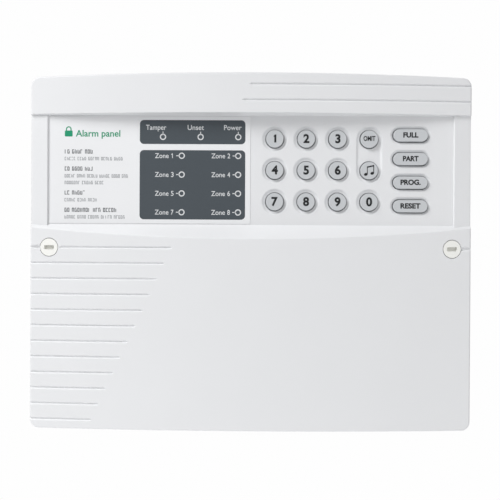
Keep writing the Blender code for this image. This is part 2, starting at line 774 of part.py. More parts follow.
def make_screws():
    for end, side in (("left", -1), ("right", 1)):
        size = (SCREW_RADIUS, SCREW_HEAD_RADIUS, SCREW_HEAD_THICK, SCREW_LENGTH)
        make_screw("cover_screw_" + end, side * SCREW_X, SCREW_Z, SCREW_SEAT - GAP, *size)
    for i, (x, z) in enumerate(board_posts()):
        make_small_screw(f"pcb_screw_{i + 1}", x, z, ON_BOARD, BOARD_SCREW_LENGTH)


def make_caps():
    """Push-in caps, flush with the bow, with a slot to turn or lift them."""
    front = FRONT + bow(SCREW_X)
    back = front + CAP_THICK
    outer = CAP_RADIUS - GAP
    inner = outer - CAP_SKIRT_WALL
    into = back - 0.0005
    end = back + CAP_SKIRT
    skirt = [(inner, into), (outer, into), (outer, end), (inner, end), (inner, into)]
    half_w, half_h = CAP_SLOT_WIDTH / 2, CAP_SLOT_HEIGHT / 2
    for name, side in (("left", -1), ("right", 1)):
        x = side * SCREW_X
        cap = bowed_case("screw_cap_" + name, 0.0, 0.0, -BASE_HEIGHT, COVER_WHITE, PANEL)
        edge = rod("cap_edge_" + name, x, SCREW_Z, CAP_RADIUS, FRONT - CUT_PAST, back)
        boolean(cap, "INTERSECT", [edge])
        join(cap, turned("cap_skirt_" + name, skirt, x, SCREW_Z))
        deep = (front - 2 * CUT_PAST, front + CAP_SLOT_DEPTH)
        height = (SCREW_Z - half_h, SCREW_Z + half_h)
        cut(cap, block("cap_slot_" + name, (x - half_w, x + half_w), deep, height))


def keyhole(name, x, z):
    """Cutters for a wall fixing: a round entry with a narrower slot above it."""
    half = KEYHOLE_SLOT / 2
    through = (BASE_FLOOR - CUT_PAST, CUT_PAST)
    hole = rod(name, x, z, KEYHOLE_RADIUS, *through)
    slot = block(name + "_slot", (x - half, x + half), through, (z, z + KEYHOLE_LENGTH))
    return [hole, slot]


def make_back_box():
    """Tray that goes on the wall, with everything else fixed to it."""
    base = extruded("back_box", case_outline(BASE_STEP), "Y", -BASE_HEIGHT + GAP, 0.0, BASE_WHITE, PANEL)
    lip_outer = COVER_WALL + LIP_GAP
    join(base, extruded("lip", case_outline(lip_outer), "Y", -BASE_HEIGHT - LIP_HEIGHT, -BASE_HEIGHT / 2))
    cut(base, extruded("tray", case_outline(lip_outer + LIP_WALL), "Y", FRONT, BASE_FLOOR))

    rooted = BASE_FLOOR / 2
    for i, (x, z) in enumerate(board_posts()):
        join(base, rod(f"post_{i + 1}", x, z, POST_RADIUS, BOARD_BACK + GAP, rooted, sides=16))
        ends = (BOARD_BACK - CUT_PAST, BOARD_BACK + PILOT_DEPTH)
        cut(base, rod(f"post_{i + 1}_pilot", x, z, BOARD_SCREW_RADIUS + GAP, *ends, sides=12))
    for end, side in (("left", -1), ("right", 1)):
        x = side * SCREW_X
        join(base, rod("pillar_" + end, x, SCREW_Z, PILLAR_RADIUS, -PILLAR_HEIGHT, rooted))
        ends = (-PILLAR_HEIGHT - CUT_PAST, -PILLAR_HEIGHT + PILOT_DEPTH)
        cut(base, rod("pilot_" + end, x, SCREW_Z, SCREW_RADIUS + GAP, *ends, sides=12))
    join(base, *battery_bay(rooted))

    side_hole = HALF_WIDTH - KEYHOLE_SIDE
    low_hole = SCREW_Z - KEYHOLE_BELOW_SCREW
    cut(base, *keyhole("keyhole_top", 0.0, TOP - KEYHOLE_DROP))
    cut(base, *keyhole("keyhole_left", -side_hole, low_hole))
    cut(base, *keyhole("keyhole_right", side_hole, low_hole))
    half = CABLE_ENTRY_WIDTH / 2
    entry_z = SCREW_Z + CABLE_ENTRY_RISE
    through = (BASE_FLOOR - CUT_PAST, CUT_PAST)
    cut(base, block("cable_entry", (-half, half), through, (entry_z, entry_z + CABLE_ENTRY_HEIGHT)))
    half = SIDE_ENTRY_WIDTH / 2
    above_floor = BASE_FLOOR - 0.003
    for i, x in enumerate(SIDE_ENTRY_X):
        depth = (above_floor - SIDE_ENTRY_HEIGHT, above_floor)
        cut(base, block(f"mains_entry_{i + 1}", (x - half, x + half), depth, (-TOP - CUT_PAST, -TOP + 0.008)))
    for i, (x, z) in enumerate(core_feet()):
        cut(base, rod(f"foot_pilot_{i + 1}", x, z, FOOT_HOLE, *through, sides=16))


def battery_bay(rooted):
    """Ribs on the floor of the tray that hold the battery on three sides."""
    depth = (BASE_FLOOR - BAY_RIB_TALL, rooted)
    left = BATTERY_LEFT - BAY_GAP
    right = BATTERY_LEFT + BATTERY_WIDTH
    top = BATTERY_HIGH + BAY_GAP
    short, long = BATTERY_WIDTH / 6, BATTERY_WIDTH / 9
    foot = (INNER_BOTTOM - CUT_PAST, BATTERY_LOW - BAY_GAP)
    return [
        block("bay_left", (left - BAY_RIB, left), depth, (BATTERY_LOW, BATTERY_HIGH)),
        block("bay_top", (BATTERY_LEFT + short, right - short), depth, (top, top + BAY_RIB)),
        block("bay_foot", (BATTERY_LEFT + long, right - long), depth, foot),
    ]


def make_battery():
    """Standby battery in its bay, with its two tabs and the leads on them."""
    depth = (ON_BASE - BATTERY_THICK, ON_BASE)
    span = (BATTERY_LEFT, BATTERY_LEFT + BATTERY_WIDTH)
    battery = block("battery", span, depth, (BATTERY_LOW, BATTERY_HIGH), BATTERY_GREY, PANEL)
    round_edges(battery, 0.001)
    middle = sum(depth) / 2
    half_w, half_d = TAB_SIZE[0] / 2, TAB_SIZE[1] / 2
    for i, (colour, finish) in enumerate((("red", RED_WIRE), ("black", BLACK_WIRE))):
        x = BATTERY_LEFT + TAB_SIDE + i * TAB_PITCH
        height = (BATTERY_HIGH - 0.001, BATTERY_HIGH + TAB_SIZE[2])
        flat = (middle - half_d, middle + half_d)
        join(battery, block(f"battery_tab_{i + 1}", (x - half_w, x + half_w), flat, height))
        make_lead("battery_lead_" + colour, (x, middle, height[1] + GAP), i, finish)


def make_lead(name, start, index, finish):
    """A wire from a battery tab up and forward to the back of the board, as one smooth bend."""
    curve = bpy.data.curves.new(name, "CURVE")
    curve.dimensions = "3D"
    curve.bevel_depth = LEAD_RADIUS
    curve.bevel_resolution = 2
    curve.use_fill_caps = True
    end = (start[0] + 0.012, BOARD_BACK + 0.004, BOARD_BOTTOM + 0.012)
    leaving = (start[0], start[1] - 0.004 - 0.002 * index, start[2] + 0.016)
    arriving = (end[0], end[1] + 0.014, end[2] - 0.012)
    spline = curve.splines.new("POLY")
    count = 14
    spline.points.add(count)
    for i in range(count + 1):
        t = i / count
        weights = ((1 - t) ** 3, 3 * t * (1 - t) ** 2, 3 * t * t * (1 - t), t**3)
        co = [sum(w * p[k] for w, p in zip(weights, (start, leaving, arriving, end))) for k in range(3)]
        spline.points[i].co = (*co, 1)
    curve.materials.append(finish)
    PANEL.objects.link(bpy.data.objects.new(name, curve))


def core_feet():
    """(x, z) of the two screws that hold the transformer."""
    reach = CORE_WIDTH / 2 + CORE_FOOT / 2
    return [(CORE_X - reach, CORE_LOW + CORE_TALL / 2), (CORE_X + reach, CORE_LOW + CORE_TALL / 2)]


def make_transformer():
    """Mains transformer: a laminated core on a bent foot, and the coil round its middle limb."""
    half = CORE_WIDTH / 2
    limbs = (CORE_LOW + CORE_LIMB, CORE_LOW + CORE_TALL - CORE_LIMB)
    wide = (CORE_X - half, CORE_X + half)
    tall = (CORE_LOW, CORE_LOW + CORE_TALL)
    core = block("transformer_core", wide, (CORE_FRONT, CORE_BACK), tall, IRON, PANEL)
    middle = CORE_LOW + CORE_TALL / 2
    foot_z = (middle - FOOT_TALL / 2, middle + FOOT_TALL / 2)
    reach = half + CORE_FOOT
    foot = block("core_foot", (CORE_X - reach, CORE_X + reach), (ON_BASE - FOOT_THICK, ON_BASE), foot_z)
    neck_y = (CORE_BACK - 0.001, ON_BASE - FOOT_THICK / 2)
    join(core, foot, block("core_neck", wide, neck_y, foot_z))
    for side in (-1, 1):
        span = (CORE_X + side * CORE_LIMB, CORE_X + side * (COIL_WIDTH / 2 + GAP))
        cut(core, block(f"core_window_{side}", span, (CORE_FRONT - CUT_PAST, CORE_BACK + 0.0001), limbs))
    for i, (x, z) in enumerate(core_feet()):
        seat = ON_BASE - FOOT_THICK
        cut(core, rod(f"foot_hole_{i + 1}", x, z, FOOT_HOLE, seat - CUT_PAST, BASE_FLOOR, sides=16))
        make_small_screw(f"transformer_screw_{i + 1}", x, z, seat - GAP, FOOT_SCREW_LENGTH)

    coil_x = (CORE_X - COIL_WIDTH / 2, CORE_X + COIL_WIDTH / 2)
    coil_y = (CORE_FRONT - COIL_PROUD, CORE_BACK - 2 * GAP)
    coil = block("transformer_coil", coil_x, coil_y, (limbs[0] + GAP, limbs[1] - GAP), TAPE, PANEL)
    opening = (CORE_X - CORE_LIMB - GAP, CORE_X + CORE_LIMB + GAP)
    past = (limbs[0] - CUT_PAST, limbs[1] + CUT_PAST)
    cut(coil, block("coil_opening", opening, (CORE_FRONT - GAP, CORE_BACK + CUT_PAST), past))


def make_mains():
    """Mains terminals on the floor of the tray, and the fuse beside them, clear of the board's post."""
    low = BATTERY_HIGH + MAINS_RISE
    left = MAINS_SIDE - INNER_HALF
    make_terminals("mains_terminals", left, low, MAINS_WAYS, MAINS_PITCH, ON_BASE, BLACK_PLASTIC)
    left = BOARD_LEFT + POST_INSET + POST_RADIUS + POST_CLEAR
    width, thick, tall = FUSE_SIZE
    deep = (ON_BASE - thick, ON_BASE)
    fuse = block("fuse_holder", (left, left + width), deep, (low, low + tall), BLACK_PLASTIC, PANEL)
    round_edges(fuse, 0.0012)


def round_edges(obj, width):
    edges = obj.modifiers.new("edges", "BEVEL")
    edges.width = width
    edges.segments = 2


def make_terminals(name, left, low, ways, pitch, back, finish):
    """A screw terminal strip: one block with a wire mouth and a screw well for each way."""
    front = back - TERMINAL_TALL
    span = (left, left + ways * pitch)
    strip = block(name, span, (front, back), (low, low + TERMINAL_DEPTH), finish, PANEL)
    mouth = pitch * 0.3
    depth = (back - TERMINAL_TALL * 0.62, back - TERMINAL_TALL * 0.22)
    for i in range(ways):
        x = left + (i + 0.5) * pitch
        height = (low - CUT_PAST, low + TERMINAL_DEPTH * 0.4)
        cut(strip, block(f"{name}_mouth_{i + 1}", (x - mouth, x + mouth), depth, height))
        ends = (front - CUT_PAST, front + TERMINAL_TALL / 4)
        cut(strip, rod(f"{name}_well_{i + 1}", x, low + TERMINAL_DEPTH * 0.62, mouth, *ends, sides=8))


def on_board(name, side, rise, size):
    """A black package on the front of the board, from its left edge and its foot."""
    width, thick, tall = size
    left = BOARD_LEFT + side
    low = BOARD_BOTTOM + rise
    deep = (ON_BOARD - thick, ON_BOARD)
    return block(name, (left, left + width), deep, (low, low + tall), BLACK_PLASTIC, PANEL)


def make_board_parts():
    """What is soldered to the front of the board below the pocket."""
    low = BOARD_BOTTOM + 0.001
    left = BOARD_LEFT + TERMINAL_SIDE
    make_terminals("zone_terminals", left, low, ZONE_WAYS, TERMINAL_PITCH, ON_BOARD, GREEN_PLASTIC)
    left += ZONE_WAYS * TERMINAL_PITCH + TERMINAL_SPACING
    make_terminals("output_terminals", left, low, OUTPUT_WAYS, TERMINAL_PITCH, ON_BOARD, GREEN_PLASTIC)

    chip = on_board("processor", CHIP_SIDE, PARTS_RISE, CHIP_SIZE)
    face = ON_BOARD - CHIP_SIZE[1]
    notch_z = BOARD_BOTTOM + PARTS_RISE + CHIP_SIZE[2] / 2
    notch_y = (face - CUT_PAST, face + CHIP_SIZE[1] / 4)
    cut(chip, rod("chip_notch", BOARD_LEFT + CHIP_SIDE, notch_z, CHIP_NOTCH, *notch_y, sides=12))
    round_edges(on_board("bell_relay", RELAY_SIDE, PARTS_RISE, RELAY_SIZE), 0.0006)

    front = ON_BOARD - SOUNDER_TALL
    profile = [
        (0, front + 0.0008),
        (SOUNDER_HOLE, front + 0.0008),
        (SOUNDER_HOLE, front),
        (SOUNDER_RADIUS - 0.001, front),
        (SOUNDER_RADIUS, front + 0.001),
        (SOUNDER_RADIUS, ON_BOARD),
        (0, ON_BOARD),
    ]
    turned("sounder", profile, BOARD_RIGHT - SOUNDER_SIDE, BOARD_BOTTOM + SOUNDER_RISE, BLACK_PLASTIC, PANEL)


def make_tamper():
    """Switch on the board behind the label, and the plunger that the closed cover holds in."""
    x = BOARD_LEFT + SWITCH_SIDE
    z = ROW_3 + SWITCH_RISE
    half_w, half_h = SWITCH_SIZE[0] / 2, SWITCH_SIZE[1] / 2
    top = POCKET_BACK + SWITCH_SINK
    span, height = (x - half_w, x + half_w), (z - half_h, z + half_h)
    switch = block("tamper_switch", span, (top, ON_BOARD), height, BLACK_PLASTIC, PANEL)
    cut(switch, rod("plunger_bore", x, z, PLUNGER_BORE, top - CUT_PAST, ON_BOARD - 0.001, sides=20))
    tip = POCKET_BACK + GAP
    radius = PLUNGER_BORE - GAP
    end = tip + PLUNGER_LENGTH
    profile = [(0, tip), (radius * 0.6, tip), (radius, tip + 0.0005), (radius, end), (0, end)]
    turned("tamper_plunger", profile, x, z, RED, PANEL, sides=16)


def set_origins():
    """Each moving piece slides along its own middle, so its origin is there."""
    for obj in list(PANEL.objects):
        if not obj.name.startswith(("key_", "tamper_plunger")):
            continue
        corners = [obj.bound_box[i] for i in range(8)]
        middle = [(min(c[k] for c in corners) + max(c[k] for c in corners)) / 2 for k in range(3)]
        obj.data.transform(Matrix.Translation([-value for value in middle]))
        obj.location = middle


def build():
    make_back_box()
    make_battery()
    make_transformer()
    make_mains()
    make_board()
    make_board_parts()
    make_tamper()
    make_leds()
    make_mat()
    make_keys()
    make_front_cover()
    make_label()
    make_screws()
    make_caps()
    set_origins()
    add_booleans()


build()
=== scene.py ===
"""Looks for the wall-mounted alarm control panel: its shell, keys, printed label and inside."""

import math

import bmesh
import bpy
from mathutils import Matrix, Vector


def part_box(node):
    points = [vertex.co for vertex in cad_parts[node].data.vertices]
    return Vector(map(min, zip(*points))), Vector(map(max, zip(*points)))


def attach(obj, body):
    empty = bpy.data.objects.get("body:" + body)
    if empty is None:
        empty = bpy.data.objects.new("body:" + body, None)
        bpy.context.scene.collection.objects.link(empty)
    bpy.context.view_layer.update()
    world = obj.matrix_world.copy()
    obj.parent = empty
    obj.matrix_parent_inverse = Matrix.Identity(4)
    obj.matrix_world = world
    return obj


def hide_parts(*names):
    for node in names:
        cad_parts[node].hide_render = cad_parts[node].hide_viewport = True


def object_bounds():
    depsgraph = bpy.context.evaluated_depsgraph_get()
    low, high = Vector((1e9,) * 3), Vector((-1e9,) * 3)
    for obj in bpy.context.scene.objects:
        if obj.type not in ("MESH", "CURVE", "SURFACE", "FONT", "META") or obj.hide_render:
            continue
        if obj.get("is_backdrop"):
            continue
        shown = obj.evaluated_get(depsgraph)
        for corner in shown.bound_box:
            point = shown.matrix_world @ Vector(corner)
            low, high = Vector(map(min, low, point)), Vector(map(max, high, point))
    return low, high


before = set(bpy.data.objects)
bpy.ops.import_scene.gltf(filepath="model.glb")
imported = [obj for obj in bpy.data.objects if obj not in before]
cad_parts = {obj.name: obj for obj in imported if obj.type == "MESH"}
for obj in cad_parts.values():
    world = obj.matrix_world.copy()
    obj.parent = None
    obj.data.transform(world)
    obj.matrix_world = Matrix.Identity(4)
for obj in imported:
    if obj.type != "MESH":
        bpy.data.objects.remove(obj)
cad_low, cad_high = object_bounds()
scene = bpy.context.scene


# ---- Camera ------------------------------------------------------------------------------------
# A level camera straight in front of the panel, 54 cm from its crest, turned a fraction of a degree
# to the left and down, and tipped by a third of a degree. Its lens takes in the panel with a margin.
CAMERA_AWAY = 0.5405
CAMERA_SIDE = 0.0068
CAMERA_UP = 0.0040
CAMERA_LENS = 62.06
YAW, PITCH, ROLL = (math.radians(angle) for angle in (0.705, -0.293, -0.303))


def linked(name, data):
    """A new object in the scene."""
    obj = bpy.data.objects.new(name, data)
    scene.collection.objects.link(obj)
    return obj


camera_data = bpy.data.cameras.new("camera")
camera_data.lens = CAMERA_LENS
camera_data.sensor_width = 36
camera = linked("camera", camera_data)
tilt = Matrix.Rotation(ROLL, 3, "Z") @ Matrix.Rotation(PITCH, 3, "X") @ Matrix.Rotation(YAW, 3, "Y")
right, up, ahead = (Vector((row[0], row[2], row[1])) for row in tilt)
camera.matrix_world = Matrix.Translation((CAMERA_SIDE, cad_low.y - CAMERA_AWAY, CAMERA_UP)) @ Matrix(
    ((right.x, up.x, -ahead.x), (right.y, up.y, -ahead.y), (right.z, up.z, -ahead.z))
).to_4x4()
scene.camera = camera
scene.view_settings.view_transform = "Standard"


# ---- Studio ------------------------------------------------------------------------------------
# A white room: an even white surround, a large soft light high on the left, weaker ones on the right
# and behind, and a pale floor well below the panel, which hangs on its wall mount.
def add(tree, kind, inputs=None, **settings):
    """Adds a node with its settings. An input is given a value, or (node, output) to link to."""
    node = tree.nodes.new(kind)
    for name, value in settings.items():
        setattr(node, name, value)
    for key, value in (inputs or {}).items():
        if isinstance(value, tuple) and isinstance(value[0], bpy.types.Node):
            tree.links.new(value[0].outputs[value[1]], node.inputs[key])
        else:
            node.inputs[key].default_value = value
    return node


def linear(colour):
    """An sRGB hex colour as linear red, green, blue and alpha."""
    parts = [int(colour[i:i + 2], 16) / 255 for i in (1, 3, 5)]
    return (*(c / 12.92 if c <= 0.04045 else ((c + 0.055) / 1.055) ** 2.4 for c in parts), 1.0)


world = bpy.data.worlds.new("white_room")
world.use_nodes = True
scene.world = world
room = world.node_tree
seen = add(room, "ShaderNodeLightPath")
surround = add(room, "ShaderNodeBackground", {"Color": linear("#FFFFFF"), "Strength": 0.285})
backdrop = add(room, "ShaderNodeBackground", {"Color": linear("#FEFEFE"), "Strength": 1.0})
either = add(room, "ShaderNodeMixShader", {0: (seen, "Is Camera Ray"), 1: (surround, 0), 2: (backdrop, 0)})
room.links.new(either.outputs[0], room.nodes["World Output"].inputs["Surface"])


def soft_light(name, place, size, power):
    """A square light aimed at the middle of the panel."""
    data = bpy.data.lights.new(name, "AREA")
    data.size = size
    data.energy = power
    lamp = linked(name, data)
    lamp.location = place
    lamp.rotation_euler = (-Vector(place)).to_track_quat("-Z", "Y").to_euler()


soft_light("key_light", (-1.02, -0.85, 1.05), 0.9, 24.4)
soft_light("fill_light", (1.35, -1.2, 0.2), 1.2, 5.5)
soft_light("back_light", (0.5, 1.6, 0.8), 1.0, 9.0)

FLOOR_DROP = 0.30
FLOOR_REACH = 0.74
floor_mesh = bpy.data.meshes.new("floor")
corners = [(FLOOR_REACH * a, FLOOR_REACH * b) for a, b in ((-1, -1), (1, -1), (1, 1), (-1, 1))]
floor_mesh.from_pydata([(x, y, cad_low.z - FLOOR_DROP) for x, y in corners], [], [(0, 1, 2, 3)])
floor = linked("floor", floor_mesh)
paint = bpy.data.materials.new("pale_floor")
paint.use_nodes = True
floor_paint = paint.node_tree.nodes["Principled BSDF"].inputs
floor_paint["Base Color"].default_value = linear("#FCFCFC")
floor_paint["Roughness"].default_value = 0.9
floor_paint["Emission Color"].default_value = linear("#FFFFFF")
floor_paint["Emission Strength"].default_value = 0.3
floor_mesh.materials.append(paint)
floor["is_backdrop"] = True


# ---- Back box ----------------------------------------------------------------------------------
# The tray that is screwed to the wall. One moulding in white ABS, with keyholes, cable entries, posts
# for the board and ribs for the battery. Its satin skin is the same spark-eroded grain as the cover's.
FLOW_SIZE = 40.0


def new_finish(name):
    """A material with its tree, its shader and where the pattern starts: the object's own coordinates."""
    finish = bpy.data.materials.new(name)
    finish.use_nodes = True
    tree = finish.node_tree
    return finish, tree, tree.nodes["Principled BSDF"], (add(tree, "ShaderNodeTexCoord"), "Object")


def moulded(name, colour, roughness, grain, relief):
    """Moulded plastic: faint flow marks in its colour and a fine grain, sized in millimetres."""
    finish, tree, shader, here = new_finish(name)
    shader.inputs["IOR"].default_value = 1.53
    flow = add(tree, "ShaderNodeTexNoise", {"Vector": here, "Scale": 1000 / FLOW_SIZE, "Detail": 2.0})
    base = linear(colour)
    darker = tuple(0.975 * c for c in base[:3]) + (1.0,)
    tone = add(tree, "ShaderNodeMix", {"Factor": (flow, "Fac"), 6: darker, 7: base}, data_type="RGBA")
    skin = add(tree, "ShaderNodeTexNoise", {"Vector": here, "Scale": 1000 / grain, "Detail": 3.0})
    gloss = add(tree, "ShaderNodeMapRange", {0: (skin, "Fac"), 3: roughness - 0.05, 4: roughness + 0.05})
    height = {"Height": (skin, "Fac"), "Strength": 0.35, "Distance": relief / 1000}
    rough = add(tree, "ShaderNodeBump", height)
    tree.links.new(tone.outputs[2], shader.inputs["Base Color"])
    tree.links.new(gloss.outputs[0], shader.inputs["Roughness"])
    tree.links.new(rough.outputs[0], shader.inputs["Normal"])
    return finish


def dress(finish, *names):
    """Gives nodes that keep their own shape the look of what they are made of."""
    for name in names:
        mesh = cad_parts[name].data
        mesh.materials.clear()
        mesh.materials.append(finish)


base_abs = moulded("white_abs_base", "#E4E5E6", 0.45, 0.5, 0.012)
dress(base_abs, "back_box")


# ---- Transformer -------------------------------------------------------------------------------
# A mains transformer: half-millimetre steel laminations, varnished together, round a coil bound in
# yellow polyester tape. Two zinc-plated screws hold its foot to the tray.
GAP = 0.0003
FLOAT = "NodeSocketFloat"
PATCH_SIZE = 1.5


def banded(name, colours, metallic, roughness, pitch, axis, relief):
    """A stack of layers: bands of two colours across an axis, with a groove between them, in millimetres."""
    finish, tree, shader, here = new_finish(name)
    shader.inputs["Metallic"].default_value = metallic
    shader.inputs["Roughness"].default_value = roughness
    # One band of the pattern is 2 pi / 20 of a unit wide.
    wave = {"Vector": here, "Scale": 1000 / pitch * math.pi / 10, "Distortion": 0.3}
    layers = add(tree, "ShaderNodeTexWave", wave, bands_direction=axis)
    first, second = (linear(colour) for colour in colours)
    tone = add(tree, "ShaderNodeMix", {"Factor": (layers, "Fac"), 6: first, 7: second}, data_type="RGBA")
    height = {"Height": (layers, "Fac"), "Strength": 0.5, "Distance": relief / 1000}
    edges = add(tree, "ShaderNodeBump", height)
    tree.links.new(tone.outputs[2], shader.inputs["Base Color"])
    tree.links.new(edges.outputs[0], shader.inputs["Normal"])
    return finish


def metal(name, colour, roughness):
    """Plated metal: fully metallic, with faint patches where the plating is duller."""
    finish, tree, shader, here = new_finish(name)
    shader.inputs["Base Color"].default_value = linear(colour)
    shader.inputs["Metallic"].default_value = 1.0
    patches = add(tree, "ShaderNodeTexNoise", {"Vector": here, "Scale": 1000 / PATCH_SIZE, "Detail": 2.0})
    dull = add(tree, "ShaderNodeMapRange", {0: (patches, "Fac"), 3: roughness - 0.08, 4: roughness + 0.1})
    tree.links.new(dull.outputs[0], shader.inputs["Roughness"])
    return finish


# Laminations are drawn 1 mm thick, twice their real size, so that they can be told apart.
lamination_steel = banded("varnished_lamination_steel", ("#4E5054", "#85888C"), 0.8, 0.45, 1.0, "Y", 0.06)
coil_tape = banded("yellow_polyester_tape", ("#B98A1E", "#D2A536"), 0.0, 0.25, 9.0, "Z", 0.05)
zinc = metal("zinc_plated_steel", "#C7C9CC", 0.32)
dress(lamination_steel, "transformer_core")
dress(coil_tape, "transformer_coil")
dress(zinc, "transformer_screw_1", "transformer_screw_2")


def middle(node):
    """The middle of a node's box."""
    low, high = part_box(node)
    return (low + high) / 2


def loft(name, rings, ladder=False):
    """A closed solid through rings of points. Its ends are flat, or rungs from side to side of the ring."""
    bm = bmesh.new()
    rows = [[bm.verts.new(point) for point in ring] for ring in rings]
    for a, b in zip(rows, rows[1:]):
        for i in range(len(a)):
            j = (i + 1) % len(a)
            bm.faces.new((a[i], a[j], b[j], b[i]))
    for row in (rows[0], rows[-1]):
        if not ladder:
            bm.faces.new(row)
            continue
        last = len(row) - 1
        for i in range(len(row) // 2 - 1):
            bm.faces.new((row[i], row[i + 1], row[last - i - 1], row[last - i]))
    bmesh.ops.recalc_face_normals(bm, faces=bm.faces)
    mesh = bpy.data.meshes.new(name)
    bm.to_mesh(mesh)
    bm.free()
    return mesh


def prism(name, outline, axis, low, high):
    """A flat outline pushed along an axis: (y, z) points for x, (x, z) for y and (x, y) for z."""
    order = {"x": (2, 0, 1), "y": (0, 2, 1), "z": (0, 1, 2)}[axis]
    rings = [[(a, b, c) for a, b in outline] for c in (low, high)]
    return loft(name, [[tuple(point[i] for i in order) for point in ring] for ring in rings])


def block(name, x, y, z):
    """A box between (low, high) pairs."""
    return prism(name, [(x[0], z[0]), (x[1], z[0]), (x[1], z[1]), (x[0], z[1])], "y", *y)


def arc(centre_a, centre_b, radius, start, end, steps):
    """Points round (centre_a, centre_b) between two angles in degrees."""
    turns = [math.radians(start + (end - start) * i / steps) for i in range(steps + 1)]
    return [(centre_a + radius * math.cos(t), centre_b + radius * math.sin(t)) for t in turns]


def gathered(name, meshes):
    """Several meshes as one."""
    bm = bmesh.new()
    for mesh in meshes:
        bm.from_mesh(mesh)
    made = bpy.data.meshes.new(name)
    bm.to_mesh(made)
    bm.free()
    return made


def sewn(mesh):
    """The mesh with its double points merged and its faces turned outwards."""
    bm = bmesh.new()
    bm.from_mesh(mesh)
    bmesh.ops.remove_doubles(bm, verts=bm.verts, dist=1e-7)
    bmesh.ops.recalc_face_normals(bm, faces=bm.faces)
    bm.to_mesh(mesh)
    bm.free()
    return mesh


def shown(obj):
    """The mesh of an object as its modifiers leave it. The object goes."""
    bpy.context.view_layer.update()
    graph = bpy.context.evaluated_depsgraph_get()
    mesh = bpy.data.meshes.new_from_object(obj.evaluated_get(graph))
    bpy.data.objects.remove(obj, do_unlink=True)
    return mesh


def piece(name, mesh, finish, body, slot, *nodes):
    """A finished piece in its place, riding on its body and standing for its nodes."""
    if finish:
        mesh.materials.clear()
        mesh.materials.append(finish)
    mesh.shade_smooth()
    mesh.set_sharp_from_angle(angle=math.radians(30))
    # Wide faces set the shading, so that flat fronts stay flat up to their rounded edges.
    draft = linked(name + "_draft", mesh)
    draft.modifiers.new("weights", "WEIGHTED_NORMAL").keep_sharp = True
    obj = linked(name, shown(draft))
    obj.data.name = name
    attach(obj, body)
    if nodes:
        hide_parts(*nodes)


def new_tree(name, sockets):
    """An empty geometry tree with its named inputs."""
    tree = bpy.data.node_groups.new(name, "GeometryNodeTree")
    tree.interface.new_socket("Geometry", in_out="INPUT", socket_type="NodeSocketGeometry")
    for label, kind in sockets:
        tree.interface.new_socket(label, in_out="INPUT", socket_type=kind)
    tree.interface.new_socket("Geometry", in_out="OUTPUT", socket_type="NodeSocketGeometry")
    return tree, tree.nodes.new("NodeGroupInput")


def end_tree(tree, last, output, given):
    """Closes a tree: everything real, with its material."""
    real = add(tree, "GeometryNodeRealizeInstances", {0: (last, output)})
    painted = add(tree, "GeometryNodeSetMaterial", {"Geometry": (real, 0), "Material": (given, "Material")})
    tree.links.new(painted.outputs[0], tree.nodes.new("NodeGroupOutput").inputs[0])


def grown(name, tree, points, **values):
    """The plain mesh that a tree makes from a few points, with its inputs by their labels."""
    cloud = bpy.data.meshes.new(name)
    cloud.from_pydata(points, [], [])
    obj = linked(name, cloud)
    modifier = obj.modifiers.new(name, "NODES")
    modifier.node_group = tree
    for item in tree.interface.items_tree:
        if item.in_out == "INPUT" and item.name in values:
            modifier[item.identifier] = values[item.name]
    return sewn(shown(obj))


# Enamelled copper shows as fine turns on the front of the coil, in a band at its foot and one at its top.
turns_tree, given = new_tree(
    "coil_turns",
    [("Width", FLOAT), ("Pitch", FLOAT), ("Wire", FLOAT), ("Count", "NodeSocketInt")]
    + [("Material", "NodeSocketMaterial")],
)
span = add(turns_tree, "ShaderNodeCombineXYZ", {0: (given, "Width")})
strand = add(turns_tree, "GeometryNodeCurvePrimitiveLine", {1: (span, 0)})
gauge = add(turns_tree, "GeometryNodeCurvePrimitiveCircle", {"Resolution": 8, "Radius": (given, "Wire")})
wire = add(turns_tree, "GeometryNodeCurveToMesh", {0: (strand, 0), 1: (gauge, 0), "Fill Caps": True})
step = add(turns_tree, "ShaderNodeCombineXYZ", {2: (given, "Pitch")})
stack = add(turns_tree, "GeometryNodeMeshLine", {"Count": (given, "Count"), "Offset": (step, 0)})
layer = add(turns_tree, "GeometryNodeInstanceOnPoints", {0: (stack, 0), "Instance": (wire, 0)})
layers = add(turns_tree, "GeometryNodeInstanceOnPoints", {0: (given, "Geometry"), "Instance": (layer, 0)})
end_tree(turns_tree, layers, 0, given)

TURN_PITCH = 0.0006
TURN_INSET = 0.001
TURN_SUNK = 0.0001
TURN_BAND = 0.006
BAND_MARGIN = 0.002
coil_low, coil_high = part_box("transformer_coil")
copper = metal("enamelled_copper", "#B4652F", 0.30)
starts = [
    (coil_low.x + TURN_INSET, coil_low.y + TURN_SUNK, z)
    for z in (coil_low.z + BAND_MARGIN, coil_high.z - BAND_MARGIN - TURN_BAND)
]
turns = grown(
    "turns",
    turns_tree,
    starts,
    Width=coil_high.x - coil_low.x - 2 * TURN_INSET,
    Pitch=TURN_PITCH,
    Wire=TURN_PITCH * 0.45,
    Count=int(TURN_BAND / TURN_PITCH),
)
piece("coil_turns", turns, copper, "base", "coil_tape")


# ---- Mains terminals and fuse ------------------------------------------------------------------
# A three-way terminal strip and a fuse holder in black nylon on the floor of the tray. Each way has a
# slotted screw of plated steel in its well.
black_nylon = moulded("black_nylon", "#1D1E20", 0.5, 0.4, 0.008)
dress(black_nylon, "mains_terminals", "fuse_holder")


def stadium(radius, length, x, z, y, sides):
    """A round outline pulled out sideways by length, facing the front."""
    points = []
    for i in range(sides):
        turn = 2 * math.pi * (i + 0.5) / sides
        out = math.copysign(length / 2, math.cos(turn))
        points.append((x + out + radius * math.cos(turn), y, z + radius * math.sin(turn)))
    return points


def turned(name, profile, x, z, length=0.0, sides=64):
    """A solid turned about a line towards the front through (x, z), from (radius, y) points."""
    return loft(name, [stadium(radius, length, x, z, y, sides) for radius, y in profile])


